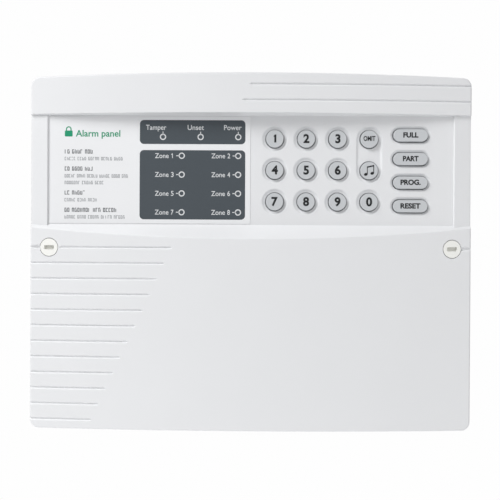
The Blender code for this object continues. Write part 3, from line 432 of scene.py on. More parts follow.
def carved(name, body, steps):
    """The body after each (operation, meshes) step. The meshes of one step stand clear of each other."""
    obj = linked(name, body)
    tools = []
    for i, (operation, meshes) in enumerate(steps):
        tool = linked(f"{name}_tool_{i}", gathered(name, meshes))
        tools.append(tool)
        step = obj.modifiers.new(tool.name, "BOOLEAN")
        step.operation = operation
        step.solver = "MANIFOLD"
        step.object = tool
    mesh = shown(obj)
    for tool in tools:
        bpy.data.objects.remove(tool, do_unlink=True)
    return mesh


# A unit that is passed in is repeated along a line from each point.
rows_tree, given = new_tree(
    "rows",
    [("Unit", "NodeSocketObject"), ("Count", "NodeSocketInt"), ("Step", "NodeSocketVector")]
    + [("Material", "NodeSocketMaterial")],
)
unit = add(rows_tree, "GeometryNodeObjectInfo", {"Object": (given, "Unit")})
line = add(rows_tree, "GeometryNodeMeshLine", {"Count": (given, "Count"), "Offset": (given, "Step")})
row = add(rows_tree, "GeometryNodeInstanceOnPoints", {0: (line, 0), "Instance": (unit, "Geometry")})
rows = add(rows_tree, "GeometryNodeInstanceOnPoints", {0: (given, "Geometry"), "Instance": (row, 0)})
end_tree(rows_tree, rows, 0, given)


def in_rows(name, mesh, starts, count, step):
    """The mesh repeated by step from each start. It is drawn round the origin."""
    unit = linked(name + "_unit", mesh)
    made = grown(name, rows_tree, starts, Unit=unit, Count=count, Step=step)
    bpy.data.objects.remove(unit, do_unlink=True)
    return made


def slotted_screw(radius, tall):
    """A domed screw head with a slot, facing the front, its top at the origin."""
    profile = [(radius * 0.7, 0.0), (radius * 0.92, tall * 0.15), (radius, tall * 0.4), (radius, tall)]
    slot = block("slot", (-radius * 1.1, radius * 1.1), (-tall, tall * 0.5), (-radius * 0.14, radius * 0.14))
    return carved("screw", turned("head", profile, 0, 0, sides=24), [("DIFFERENCE", [slot])])


# Shares of a terminal strip's depth, height and pitch, and the largest radius of a screw.
SCREW_SUNK = 0.12
SCREW_ROW = 0.62
SCREW_SHARE = 0.26
SCREW_MOST = 0.0021


def strip_screws(node, ways):
    """The screws of a terminal strip, a little way down their wells."""
    low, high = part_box(node)
    pitch = (high.x - low.x) / ways
    tall = high.y - low.y
    start = (low.x + pitch / 2, low.y + tall * SCREW_SUNK, low.z + (high.z - low.z) * SCREW_ROW)
    screw = slotted_screw(min(pitch * SCREW_SHARE, SCREW_MOST), tall * SCREW_SUNK)
    screws = in_rows("screws", screw, [start], ways, (pitch, 0, 0))
    piece(node + "_screws", screws, zinc, "base", "screw_steel")


strip_screws("mains_terminals", 3)
FUSE_CAP_RADIUS = 0.0035
FUSE_CAP_TALL = 0.0006
fuse = middle("fuse_holder")
fuse_cap = slotted_screw(FUSE_CAP_RADIUS, FUSE_CAP_TALL)
fuse_cap.transform(Matrix.Translation((fuse.x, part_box("fuse_holder")[0].y, fuse.z)))
piece("fuse_cap", fuse_cap, black_nylon, "base", "black_moulding")


# ---- Battery and leads -------------------------------------------------------------------------
# A sealed lead-acid battery in a charcoal ABS case, with a welded lid, a paper label and two tabs,
# and the PVC-covered leads that run from the tabs to the board.
battery_abs = moulded("charcoal_abs_case", "#3A3C40", 0.5, 0.6, 0.012)
label_paper = moulded("coated_label_paper", "#D9DBDD", 0.45, 1.2, 0.004)
red_pvc = moulded("red_pvc_insulation", "#B8231E", 0.38, 0.3, 0.003)
black_pvc = moulded("black_pvc_insulation", "#191A1C", 0.38, 0.3, 0.003)
dress(battery_abs, "battery")
dress(red_pvc, "battery_lead_red")
dress(black_pvc, "battery_lead_black")

TAB_TALL = 0.006
LID_TALL = 0.009
battery_low, battery_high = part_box("battery")
battery_top = battery_high.z - TAB_TALL
seam_z = battery_top - LID_TALL


def rounded(x_span, z_span, radius, steps=8):
    """A rectangle with round corners, as (x, z) points."""
    points = []
    for a, b, start in ((1, 1, 0), (-1, 1, 90), (-1, -1, 180), (1, -1, 270)):
        centre_x = x_span[a > 0] - a * radius
        centre_z = z_span[b > 0] - b * radius
        points += arc(centre_x, centre_z, radius, start, start + 90, steps)
    return points


def flat(name, outline, face, thick):
    """A thin sheet on a face, seen from the front."""
    return prism(name, outline, "y", face - thick, face + 0.00005)


BEAD_INSET = 0.0015
BEAD_TALL = 0.0012
bead_x = (battery_low.x + BEAD_INSET, battery_high.x - BEAD_INSET)
bead = flat("bead", rounded(bead_x, (seam_z, seam_z + BEAD_TALL), 0.0005), battery_low.y, 0.0004)
piece("battery_lid_bead", bead, battery_abs, "base", "battery_case")

PAPER_SIDE = 0.020
PAPER_ENDS = 0.010
patch_x = (battery_low.x + PAPER_SIDE, battery_high.x - PAPER_SIDE)
patch_z = (battery_low.z + PAPER_ENDS, seam_z - PAPER_ENDS)
patch = flat("patch", rounded(patch_x, patch_z, 0.002), battery_low.y, 0.0001)
piece("battery_paper", patch, label_paper, "base", "battery_case")

# Printed bars: how much shorter than the paper each is, and its foot and head below the paper's top.
BAR_MARGIN = 0.006
BARS = [(0.0, 0.009, 0.004), (0.060, 0.0135, 0.0120), (0.045, 0.0170, 0.0155)]
bar_y = (battery_low.y - 0.00014, battery_low.y - 0.00005)
bars = []
for shorter, foot, head in BARS:
    bar_x = (patch_x[0] + BAR_MARGIN, patch_x[1] - BAR_MARGIN - shorter)
    bars.append(block("bar", bar_x, bar_y, (patch_z[1] - foot, patch_z[1] - head)))
piece("battery_paper_bars", gathered("bars", bars), battery_abs, "base", "battery_case")


# ---- Main board --------------------------------------------------------------------------------
# A fibreglass board under green solder mask, with copper tracks showing through it as a lighter
# green. Four plated screws hold it to the posts. Small parts and solder points stand on its front.
def board_mask(name):
    """Solder mask over copper: glossy green, lighter and a hair higher along the tracks."""
    finish, tree, shader, here = new_finish(name)
    shader.inputs["Roughness"].default_value = 0.22
    swap = add(tree, "ShaderNodeSeparateXYZ", {0: here})
    upright = add(tree, "ShaderNodeCombineXYZ", {0: (swap, 0), 1: (swap, 2)})
    # Tracks run on a 2.54 mm grid, in blocks a few grid steps wide.
    track_grid = {
        "Vector": (upright, 0),
        "Scale": 1000 / 25.4,
        "Mortar Size": 0.012,
        "Brick Width": 0.9,
        "Row Height": 0.1,
        "Mortar Smooth": 0.1,
    }
    bricks = add(tree, "ShaderNodeTexBrick", track_grid)
    greens = {"Factor": (bricks, "Fac"), 6: linear("#17603A"), 7: linear("#2C8552")}
    tone = add(tree, "ShaderNodeMix", greens, data_type="RGBA")
    raised = add(tree, "ShaderNodeBump", {"Height": (bricks, "Fac"), "Strength": 0.4, "Distance": 0.00003})
    tree.links.new(tone.outputs[2], shader.inputs["Base Color"])
    tree.links.new(raised.outputs[0], shader.inputs["Normal"])
    return finish


solder_mask = board_mask("green_solder_mask")
dress(solder_mask, "main_pcb")
dress(zinc, *[f"pcb_screw_{i}" for i in range(1, 5)])
board_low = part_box("main_pcb")[0]
board_face = board_low.y

# Solder points on the 2.54 mm grid, and rows of small chips with tinned ends. Rows start at (side, rise).
GRID = 0.00254
DOT_ROWS = [(0.008, 0.0135), (0.008, 0.0365)]
CHIP_ROWS = [(0.0135, 0.0460), (0.0135, 0.0490)]
CHIP_STEP = 0.0042
CHIP_HALF = 0.0008


def on_board(rows):
    """Points on the face of the board, from its lower left corner."""
    return [(board_low.x + side, board_face, board_low.z + rise) for side, rise in rows]


tin = metal("tinned_solder", "#C9CCCF", 0.28)
dome = turned("dome", [(0.0002, -0.0006), (0.0005, -0.00035), (0.0008, 0.00005)], 0, 0, sides=10)
dots = in_rows("dots", dome, on_board(DOT_ROWS), 12, (GRID, 0, 0))
piece("solder_points", dots, tin, "base", "screw_steel")

chip_body = block("chip", (-CHIP_HALF, CHIP_HALF), (-0.0005, 0.00005), (-0.0004, 0.0004))
small = in_rows("small_parts", chip_body, on_board(CHIP_ROWS), 8, (CHIP_STEP, 0, 0))
piece("small_parts", small, black_nylon, "base", "black_moulding")
ends = [
    block("end", (x - 0.0003, x + 0.0003), (-0.00052, 0.00005), (-0.00042, 0.00042))
    for x in (-CHIP_HALF, CHIP_HALF)
]
tinned = in_rows("tinned_ends", gathered("ends", ends), on_board(CHIP_ROWS), 8, (CHIP_STEP, 0, 0))
piece("tinned_ends", tinned, tin, "base", "screw_steel")


# ---- Board terminals ---------------------------------------------------------------------------
# Two strips of screw terminals in green nylon along the foot of the board, for the zones and for the
# bell, keypad and power outputs, with a plated screw in each well.
green_nylon = moulded("green_nylon_terminal", "#2F8A52", 0.42, 0.4, 0.006)
dress(green_nylon, "zone_terminals", "output_terminals")
strip_screws("zone_terminals", 16)
strip_screws("output_terminals", 14)


# ---- Processor, relay and sounder --------------------------------------------------------------
# A forty-pin chip in black epoxy with tinned legs, a sealed relay in a black case and a round piezo
# sounder, all soldered to the board.
black_epoxy = moulded("black_epoxy_package", "#222326", 0.55, 0.3, 0.006)
dress(black_epoxy, "processor", "bell_relay")
dress(black_nylon, "sounder")
chip_low, chip_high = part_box("processor")
leg = prism(
    "leg",
    [(0.0, 0.0), (0.0, 0.0009), (0.0018, 0.0009), (0.0018, 0.0006), (0.0003, 0.0006), (0.0003, 0.0)],
    "x",
    -0.0007,
    0.0007,
)
LEG_SUNK = 0.0020
LEGS_A_SIDE = 20
legs_from = (chip_low.x + chip_high.x) / 2 - (LEGS_A_SIDE - 1) / 2 * GRID
legs_y = chip_low.y + LEG_SUNK
above = in_rows("legs", leg, [(legs_from, legs_y, chip_high.z)], LEGS_A_SIDE, (GRID, 0, 0))
leg.transform(Matrix.Diagonal((1, 1, -1, 1)))
leg.flip_normals()
below = in_rows("legs", leg, [(legs_from, legs_y, chip_low.z)], LEGS_A_SIDE, (GRID, 0, 0))
piece("processor_legs", gathered("legs", [above, below]), tin, "base", "screw_steel")


# ---- Tamper switch -----------------------------------------------------------------------------
# A small push switch on the board behind the cover: a black nylon body and a red acetal plunger that
# the closed cover holds in.
red_acetal = moulded("red_acetal", "#B3261F", 0.3, 0.3, 0.002)
dress(black_nylon, "tamper_switch")
dress(red_acetal, "tamper_plunger")


# ---- Indicators --------------------------------------------------------------------------------
# Eleven 3 mm lamps on the board behind the label, cast in tinted epoxy: red for the zones and the
# tamper lamp, green for the other two. The epoxy is clear and glossy, so that the lamp looks deep.
def tinted_epoxy(name, colour):
    """Clear cast epoxy with a tint, smooth and glossy."""
    finish = moulded(name, colour, 0.12, 2.0, 0.0005)
    shader = finish.node_tree.nodes["Principled BSDF"]
    shader.inputs["Transmission Weight"].default_value = 0.6
    shader.inputs["IOR"].default_value = 1.54
    return finish


red_epoxy = tinted_epoxy("red_tinted_epoxy", "#C42B22")
green_epoxy = tinted_epoxy("green_tinted_epoxy", "#2FA24A")
dress(red_epoxy, "led_tamper", *[f"led_zone_{i}" for i in range(1, 9)])
dress(green_epoxy, "led_power", "led_unset")


# ---- Key mat -----------------------------------------------------------------------------------
# One moulded silicone sheet behind the keys. Its domes push them back out. The rubber is grey and
# dull, with a fine texture.
silicone = moulded("grey_silicone", "#8C9094", 0.7, 0.6, 0.01)
dress(silicone, "keypad_mat")


# ---- Keys --------------------------------------------------------------------------------------
# Sixteen moulded keys in pale blue-grey ABS with a softened edge, each on its own stem over the
# rubber mat. The marks are printed in black on their flat fronts.
LABEL_SUNK = 0.0002
POCKET_WALL = 0.003
KEY_EDGE = 0.0003
KEY_SHY = 0.0003
KEY_FLANGE = 0.00133
FLANGE_THICK = 0.0012
STEM = {True: 0.003, False: 0.004}
PRINT_THICK = 0.00004
key_abs = moulded("blue_grey_abs_key", "#CACDD0", 0.36, 0.35, 0.006)
ROUND_KEYS = ["1", "2", "3", "omit", "4", "5", "6", "chime", "7", "8", "9", "0"]
LONG_KEYS = ["full", "part", "program", "reset"]
label_low, label_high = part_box("legend_label")
floor_y = label_high.y - LABEL_SUNK
pocket_back = floor_y + POCKET_WALL


def key_place(name):
    """Where a key stands, how wide and high it is without its flange, and where its front lies."""
    low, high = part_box(name)
    flange = 2 * KEY_FLANGE
    wide, tall = high.x - low.x - flange, high.z - low.z - flange
    return (low.x + high.x) / 2, (low.z + high.z) / 2, wide, tall, low.y


def ink(name, colour, roughness):
    """Screen-printing ink: dense and smooth, with a little unevenness where the screen lay."""
    finish = bpy.data.materials.new(name)
    finish.use_nodes = True
    tree = finish.node_tree
    shader = tree.nodes["Principled BSDF"]
    shader.inputs["Roughness"].default_value = roughness
    place = add(tree, "ShaderNodeTexCoord")
    mesh_marks = add(
        tree, "ShaderNodeTexNoise", {"Vector": (place, "Object"), "Scale": 1000 / 0.8, "Detail": 1.0}
    )
    base = linear(colour)
    lighter = tuple(min(1.0, 1.06 * c + 0.002) for c in base[:3]) + (1.0,)
    tone = add(tree, "ShaderNodeMix", {"Factor": (mesh_marks, "Fac"), 6: base, 7: lighter}, data_type="RGBA")
    tree.links.new(tone.outputs[2], shader.inputs["Base Color"])
    return finish


black_ink = ink("black_screen_ink", "#17181B", 0.45)


def lettering(text, height, x, z, face, align="CENTER", weight=0.0, width=None):
    """Printed characters on a face, with their cap height, foot and thickness, as a closed mesh."""
    curve = bpy.data.curves.new("print", "FONT")
    curve.body = "H"
    cap = shown(linked("probe", curve))
    cap_height = max(v.co.y for v in cap.vertices) - min(v.co.y for v in cap.vertices)
    curve = bpy.data.curves.new("print", "FONT")
    curve.body = text
    curve.offset = weight
    curve.extrude = 0.5
    curve.resolution_u = 6
    mesh = shown(linked("print", curve))
    low = min(v.co.x for v in mesh.vertices)
    high = max(v.co.x for v in mesh.vertices)
    scale = height / cap_height
    stretch = width / (high - low) if width else scale
    anchor = {"CENTER": (low + high) / 2, "LEFT": low, "RIGHT": high}[align]
    mesh.transform(Matrix.Translation((-anchor, 0, 0)))
    mesh.transform(Matrix.Diagonal((stretch, scale, PRINT_THICK, 1)))
    mesh.transform(Matrix.Translation((x, face, z)) @ Matrix.Rotation(math.radians(90), 4, "X"))
    return sewn(mesh)


def figure_one(height, x, z, face, stroke):
    """A plain figure one: an upright with a flag."""
    flag = 0.33 * height
    outline = [
        (0, 0), (stroke, 0), (stroke, height), (0.25 * stroke, height),
        (stroke - flag, 0.83 * height), (stroke - flag, 0.66 * height), (0, 0.74 * height),
    ]
    placed = [(x + a - stroke * 0.3, z + b) for a, b in outline]
    return prism("one", placed, "y", face - PRINT_THICK / 2, face + PRINT_THICK / 2)


def note_sign(x, z, face):
    """Two notes joined by a slanted beam."""
    reach = (face - PRINT_THICK / 2, face + PRINT_THICK / 2)
    heads = []
    for foot_x, foot_z in ((-0.00215, -0.0024), (0.00190, -0.0017)):
        oval = []
        for i in range(24):
            turn = 2 * math.pi * i / 24
            a, b = 0.0012 * math.cos(turn), 0.0009 * math.sin(turn)
            oval.append((x + foot_x + a * 0.94 - b * 0.34, z + foot_z + a * 0.34 + b * 0.94))
        heads.append(prism("head", oval, "y", *reach))
    strokes = [
        [(-0.0015, -0.0024), (-0.0010, -0.0024), (-0.0010, 0.0018), (-0.0015, 0.0018)],
        [(0.00255, -0.0017), (0.00305, -0.0017), (0.00305, 0.0028), (0.00255, 0.0028)],
        [(-0.0015, 0.0017), (0.00305, 0.0027), (0.00305, 0.0036), (-0.0015, 0.0026)],
    ]
    bars = [prism("stroke", [(x + a, z + b) for a, b in stroke], "y", *reach) for stroke in strokes]
    return carved("note", heads[0], [("UNION", [mesh]) for mesh in [heads[1], *bars]])


def two_finishes(name, first, second, finishes):
    """Two meshes as one, each with its own material."""
    for mesh, finish in zip((first, second), finishes):
        mesh.materials.clear()
        mesh.materials.append(finish)
    pair = [linked(name, mesh) for mesh in (first, second)]
    with bpy.context.temp_override(active_object=pair[0], selected_editable_objects=pair):
        bpy.ops.object.join()
    made = pair[0].data
    bpy.data.objects.remove(pair[0], do_unlink=True)
    return made


WORDS = {"omit": "OMIT", "full": "FULL", "part": "PART", "program": "PROG.", "reset": "RESET"}
WORD_WIDTHS = {"omit": 0.0075, "full": 0.0096, "part": 0.0099, "program": 0.0128, "reset": 0.0127}
for name in ROUND_KEYS + LONG_KEYS:
    node = "key_" + name
    x, z, wide, high, face = key_place(node)
    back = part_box(node)[1].y
    radius = high / 2
    flange_y = pocket_back + GAP
    steps = 6
    profile = []
    for i in range(steps + 1):
        turn = math.radians(90 * i / steps)
        edge = radius - KEY_SHY - KEY_EDGE * (1 - math.sin(turn))
        profile.append((edge, face + KEY_EDGE * (1 - math.cos(turn))))
    stem = STEM[name in LONG_KEYS]
    flange = radius + KEY_FLANGE
    flange_back = flange_y + FLANGE_THICK
    profile += [(radius - KEY_SHY, flange_y), (flange, flange_y), (flange, flange_back)]
    profile += [(stem, flange_back), (stem, back)]
    stretch = wide - high if name in LONG_KEYS else 0.0
    cap = turned(node, profile, x, z, stretch)
    on_face = face - PRINT_THICK / 4
    if name == "chime":
        mark = note_sign(x, z, on_face)
    elif name == "omit":
        mark = lettering("OMIT", 0.0029, x, z - 0.0011, on_face, weight=0.030, width=WORD_WIDTHS[name])
    elif name in WORDS:
        mark = lettering(WORDS[name], 0.0030, x, z - 0.0013, on_face, weight=0.042, width=WORD_WIDTHS[name])
    elif name == "1":
        mark = figure_one(0.0051, x, z - 0.0024, on_face, 0.0013)
    else:
        mark = lettering(name, 0.0051, x, z - 0.0024, on_face, weight=0.04)
    mesh = two_finishes(node, cap, mark, (key_abs, black_ink))
    piece(node + "_cap", mesh, None, node, "key_cap", node)


# ---- Front cover -------------------------------------------------------------------------------
# One moulding in white ABS, bowed from side to side, with a flat pocket sunk across it for the
# label and the keys. Its tool was spark-eroded, so the skin is satin with a very fine grain.
BOW_RADIUS = 1.380
TOP_CROWN = 0.0022
CORNER_RADIUS = 0.0055
RIM_ROUND = 0.001
COVER_WALL = 0.0022
POCKET_DRAFT = 0.0007
END_SLANT = 0.0006
END_RISE = 0.002
STRIP_DEPTH = 0.0018
SEAT_GAP = 0.00006
EDGE_ROUND = 0.0004
FOOT_ROUND = 0.0012
WELL_MARGIN = 0.00243
LONG_WELL_MARGIN = 0.00163
WELL_RIM = 0.0003
WELL_SLOPE = 0.0017
WELL_DEPTH = 0.00095
HOLE_GAP = 0.00030
INDICATOR_HOLE = 0.0021
CUT_PAST = 0.001
STRIP_DROP = 0.0254

cover_low, cover_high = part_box("front_cover")
half_width = cover_high.x
top = cover_high.z
front = cover_low.y
rim_back = cover_high.y
pocket_half = -label_low.x + 2 * GAP
band_top = label_high.z + POCKET_DRAFT + 2 * GAP
pocket_foot = label_low.z - 2 * GAP


def bowed(x):
    """How far back the front of the cover lies at this distance from its middle."""
    return front + BOW_RADIUS - math.sqrt(BOW_RADIUS**2 - x**2)


def case_ring(inset, depth):
    """The case seen from the front, drawn in by inset: its foot from left to right, then its crowned top."""
    half = half_width - inset
    corner = max(CORNER_RADIUS - inset, 0.0015)
    turn, stations = 10, 96
    outer = [half - corner + corner * math.cos(math.radians(90 * i / turn)) for i in range(turn)]
    inner = half - corner
    across = [-x for x in outer]
    across += [-inner + 2 * inner * i / stations for i in range(stations + 1)]
    across += reversed(outer)

    def rounding(x):
        over = max(abs(x) - inner, 0.0)
        return corner - math.sqrt(max(corner**2 - over**2, 0.0))

    foot = [(x, depth(x), -top + inset + rounding(x)) for x in across]
    crown = [(x, depth(x), top - inset - rounding(x) - TOP_CROWN * (x / half_width) ** 2) for x in across]
    return foot + crown[::-1]


def bowed_body(name, inset, offset, back):
    """The case drawn in by inset, its bowed front set back by offset, with a rounded rim."""
    rings = [case_ring(inset, lambda x: back)]
    steps = 5
    for i in range(steps + 1):
        turn = math.radians(90 * i / steps)
        more = RIM_ROUND * (1 - math.cos(turn))
        deep = offset + RIM_ROUND * (1 - math.sin(turn))
        rings.append(case_ring(inset + more, lambda x, deep=deep: bowed(x) + deep))
    return loft(name, rings, ladder=True)


def across(name, section):
    """A solid from side to side of the case, with the (y, z) section that section(x) gives."""
    stations = 96
    span = half_width + 0.002
    rings = []
    for i in range(stations + 1):
        x = -span + 2 * span * i / stations
        rings.append([(x, y, z) for y, z in section(x)])
    return loft(name, rings)


def pocket_section(wall, lift=0.0):
    """The pocket from the side: a drafted top wall, a flat floor and a foot at 45 degrees, grown by wall."""
    reach = -front + floor_y + 0.003
    slant = wall * math.tan(math.radians(22.5))
    return [
        (floor_y + wall - lift, pocket_foot - slant - lift),
        (floor_y + wall - lift, band_top - POCKET_DRAFT + wall),
        (floor_y - reach, band_top + POCKET_DRAFT * 0.3 + wall),
        (floor_y - reach, pocket_foot - slant - reach - wall),
    ]


def top_edge(x):
    """Section that rounds the edge between the front and the pocket's top wall."""
    y = bowed(x)
    z = band_top - POCKET_DRAFT + POCKET_DRAFT * 1.3 * (floor_y - y) / (floor_y - front + 0.003)
    bend = [(b, a) for a, b in arc(z + EDGE_ROUND, y + EDGE_ROUND, EDGE_ROUND, 270, 180, 5)]
    return [(y - 0.002, z + EDGE_ROUND), *bend, (y + EDGE_ROUND, z - 0.002), (y - 0.002, z - 0.002)]


def foot_edge(x):
    """Section that rounds the edge between the slanted foot of the pocket and the front below it."""
    y = bowed(x)
    edge = pocket_foot - (floor_y - y)
    reach = FOOT_ROUND * math.tan(math.radians(22.5))
    bend = arc(y + FOOT_ROUND, edge - reach, FOOT_ROUND, 180, 135, 5)
    out = 0.0015
    last_y, last_z = bend[-1]
    return [*bend, (last_y - out, last_z + out), (y - out, edge - reach)]


def side_strips(name, wall):
    """The shallow recesses beside the pocket, which follow the bow, with rounded edges, grown by a wall."""
    inner = pocket_half + END_SLANT / 2
    deep = STRIP_DEPTH + wall
    edge = EDGE_ROUND * 2
    start = inner + EDGE_ROUND
    past = half_width + 0.002
    clear = front - 0.009
    steps = 8
    plan = [(inner - 0.003, bowed(inner) + deep + EDGE_ROUND)]
    plan += arc(start, bowed(inner) + deep + EDGE_ROUND, EDGE_ROUND, 180, 270, 4)
    for i in range(1, steps + 1):
        x = start + (half_width - edge - start) * i / steps
        plan.append((x, bowed(x) + deep))
    plan += arc(half_width - edge, bowed(half_width) + deep + edge, edge, 285, 360, 4)
    plan += [(past, bowed(half_width) + deep + edge), (past, clear), (inner - 0.003, clear)]
    span = half_width + 0.003
    shapes = []
    for side in (-1, 1):
        outline = [(side * x, y) for x, y in plan]
        strip = prism(name, outline, "z", pocket_foot - STRIP_DROP, top + CUT_PAST)
        limit = prism(name + "_limit", pocket_section(wall), "x", -span, span)
        shapes.append(carved(name, strip, [("INTERSECT", [limit])]))
    return shapes


def well(radius):
    """Profile of the dished well round a key, its rim and its slope rounded."""
    steps = 6
    outer = radius + WELL_RIM
    points = [(outer, floor_y - 0.002), (outer, floor_y)]
    for i in range(1, steps):
        share = i / steps
        fall = (1 - math.cos(math.pi * share)) / 2
        points.append((outer - (WELL_SLOPE + WELL_RIM) * share, floor_y + WELL_DEPTH * fall))
    points.append((radius - WELL_SLOPE, floor_y + WELL_DEPTH))
    return points


def hole(radius, x, z, length=0.0, sides=64):
    """A straight hole through the floor of the pocket."""
    return turned(
        "hole", [(radius, floor_y - CUT_PAST), (radius, pocket_back + CUT_PAST)], x, z, length, sides
    )


wells, holes = [], []
for name in ROUND_KEYS + LONG_KEYS:
    x, z, wide, high, _ = key_place("key_" + name)
    stretch = wide - high if name in LONG_KEYS else 0.0
    margin = LONG_WELL_MARGIN if name in LONG_KEYS else WELL_MARGIN
    wells.append(turned("well", well(high / 2 + margin), x, z, stretch))
    holes.append(hole(high / 2 + HOLE_GAP, x, z, stretch))
omit_x, omit_z, omit_wide, _, _ = key_place("key_omit")
chime_z = key_place("key_chime")[1]
# The trough that joins two wells is a hair narrower and shallower, so that no two faces coincide.
side = [(radius - 0.00005, y - 0.00002) for radius, y in well(omit_wide / 2 + WELL_MARGIN)]
plan = [(omit_x + x, y) for x, y in side] + [(omit_x - x, y) for x, y in reversed(side)]
trough = prism("trough", plan, "z", chime_z, omit_z)
INDICATORS = ["power", "unset", "tamper"] + [f"zone_{i}" for i in range(1, 9)]
for name in INDICATORS:
    spot = middle("led_" + name)
    holes.append(hole(INDICATOR_HOLE, spot.x, spot.z, sides=24))

# The cover screws sit in deep round recesses, and a short tapered groove runs from the side to each.
CAP_GAP = 0.00035
BOSS_RADIUS = 0.0072
BOSS_FLOOR = 0.010
BORE_RADIUS = 0.0022
PRY_WIDTH = 0.0026
PRY_DEPTH = 0.0009
cap_low, cap_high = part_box("screw_cap_right")
cap_radius = (cap_high.x - cap_low.x) / 2
screw_x = middle("screw_cap_right").x
screw_z = middle("screw_cap_right").z
BOSS_END = -0.0403
PRY_CLEAR = 0.004
seat = BOSS_END - BOSS_FLOOR
recess_radius = cap_radius + CAP_GAP
boss_front = bowed(screw_x) + COVER_WALL / 2
bosses, recesses, bores, pries = [], [], [], []
for side in (-1, 1):
    x = side * screw_x
    bosses.append(turned("boss", [(BOSS_RADIUS, boss_front), (BOSS_RADIUS, BOSS_END)], x, screw_z))
    recess = [(recess_radius, front - CUT_PAST), (recess_radius, seat)]
    recesses.append(turned("recess", recess, x, screw_z))
    bore = [(BORE_RADIUS, seat - CUT_PAST), (BORE_RADIUS, BOSS_END + CUT_PAST)]
    bores.append(turned("bore", bore, x, screw_z, sides=32))
    rings = []
    for x, half, deep in (
        (side * (half_width + CUT_PAST), PRY_WIDTH / 4, bowed(half_width) + PRY_DEPTH),
        (side * (screw_x + cap_radius), PRY_WIDTH / 2, bowed(screw_x) + PRY_DEPTH * 2),
    ):
        section = [(deep, -0.6), (deep, 0.6), (deep - PRY_CLEAR, 3), (deep - PRY_CLEAR, -3)]
        rings.append([(x, y, screw_z + half * share) for y, share in section])
    pries.append(loft("pry", rings))

# A fan of V-grooves runs in from the left side, each a step shorter than the one above, and two more
# run in from the right on the top strip. They follow the bow and die away at their ends.
GROOVE_PITCH = 0.00993
GROOVE_STEP = 0.00463
GROOVE_REACH = 0.0487
GROOVE_RADIUS = 0.00095
groove_count = 1 + int((screw_z + top - 0.005) / GROOVE_PITCH)


groove_tree, given = new_tree(
    "groove_fan",
    [
        ("Start", FLOAT),
        ("Radius", FLOAT),
        ("Bow", FLOAT),
        ("Front", FLOAT),
        ("Material", "NodeSocketMaterial"),
    ],
)
# Each point is where a groove ends. A line of length one is stretched from there back to the start.
where = add(groove_tree, "GeometryNodeInputPosition")
at = add(groove_tree, "ShaderNodeSeparateXYZ", {0: (where, 0)})
run = add(groove_tree, "ShaderNodeMath", {0: (given, "Start"), 1: (at, 0)}, operation="SUBTRACT")
size = add(groove_tree, "ShaderNodeCombineXYZ", {0: (run, 0), 1: 1.0, 2: 1.0})
unit = add(groove_tree, "GeometryNodeCurvePrimitiveLine", {0: (0, 0, 0), 1: (1, 0, 0)})
lines = add(
    groove_tree,
    "GeometryNodeInstanceOnPoints",
    {0: (given, "Geometry"), "Instance": (unit, 0), "Scale": (size, 0)},
)
real = add(groove_tree, "GeometryNodeRealizeInstances", {0: (lines, 0)})
fine = add(groove_tree, "GeometryNodeResampleCurve", {"Curve": (real, 0), "Count": 96})
along = add(groove_tree, "ShaderNodeSeparateXYZ", {0: (where, 0)})
square = add(groove_tree, "ShaderNodeMath", {0: (along, 0), 1: (along, 0)}, operation="MULTIPLY")
bow_square = add(groove_tree, "ShaderNodeMath", {0: (given, "Bow"), 1: (given, "Bow")}, operation="MULTIPLY")
inside = add(groove_tree, "ShaderNodeMath", {0: (bow_square, 0), 1: (square, 0)}, operation="SUBTRACT")
root = add(groove_tree, "ShaderNodeMath", {0: (inside, 0)}, operation="SQRT")
drop = add(groove_tree, "ShaderNodeMath", {0: (given, "Bow"), 1: (root, 0)}, operation="SUBTRACT")
depth = add(groove_tree, "ShaderNodeMath", {0: (given, "Front"), 1: (drop, 0)})
place = add(groove_tree, "ShaderNodeCombineXYZ", {0: (along, 0), 1: (depth, 0), 2: (along, 2)})
bent = add(groove_tree, "GeometryNodeSetPosition", {"Geometry": (fine, 0), "Position": (place, 0)})
share = add(groove_tree, "GeometryNodeSplineParameter")
total = add(groove_tree, "GeometryNodeSplineLength")
left_over = add(groove_tree, "ShaderNodeMath", {0: (total, 0), 1: (share, "Length")}, operation="SUBTRACT")
nearer = add(groove_tree, "ShaderNodeMath", {0: (left_over, 0), 1: (share, "Length")}, operation="MINIMUM")
fade = add(groove_tree, "ShaderNodeMapRange", {0: (nearer, 0), 1: 0.0, 2: 0.0014, 3: 0.08, 4: 1.0})
section = add(groove_tree, "GeometryNodeCurvePrimitiveCircle", {"Resolution": 4, "Radius": 1.0})
width = add(groove_tree, "ShaderNodeMath", {0: (fade, 0), 1: (given, "Radius")}, operation="MULTIPLY")
swept = add(
    groove_tree,
    "GeometryNodeCurveToMesh",
    {"Curve": (bent, 0), "Profile Curve": (section, 0), "Scale": (width, 0), "Fill Caps": True},
)
end_tree(groove_tree, swept, 0, given)


def groove_set(ends, start):
    return grown(
        "grooves", groove_tree, ends, Start=start, Radius=GROOVE_RADIUS, Bow=BOW_RADIUS, Front=front
    )


left_ends = [(-GROOVE_REACH - i * GROOVE_STEP, 0, screw_z - i * GROOVE_PITCH) for i in range(groove_count)]
top_z = [top - 0.0074 - i * GROOVE_PITCH for i in range(2)]
top_ends = [(-GROOVE_REACH + (z - screw_z) * GROOVE_STEP / GROOVE_PITCH, 0, z) for z in top_z]
first_start = -screw_x + cap_radius + CAP_GAP + 0.0003
grooves = [
    groove_set(left_ends[:1], first_start),
    groove_set(left_ends[1:], -half_width - 0.0025),
    groove_set(top_ends, half_width + 0.0025),
]

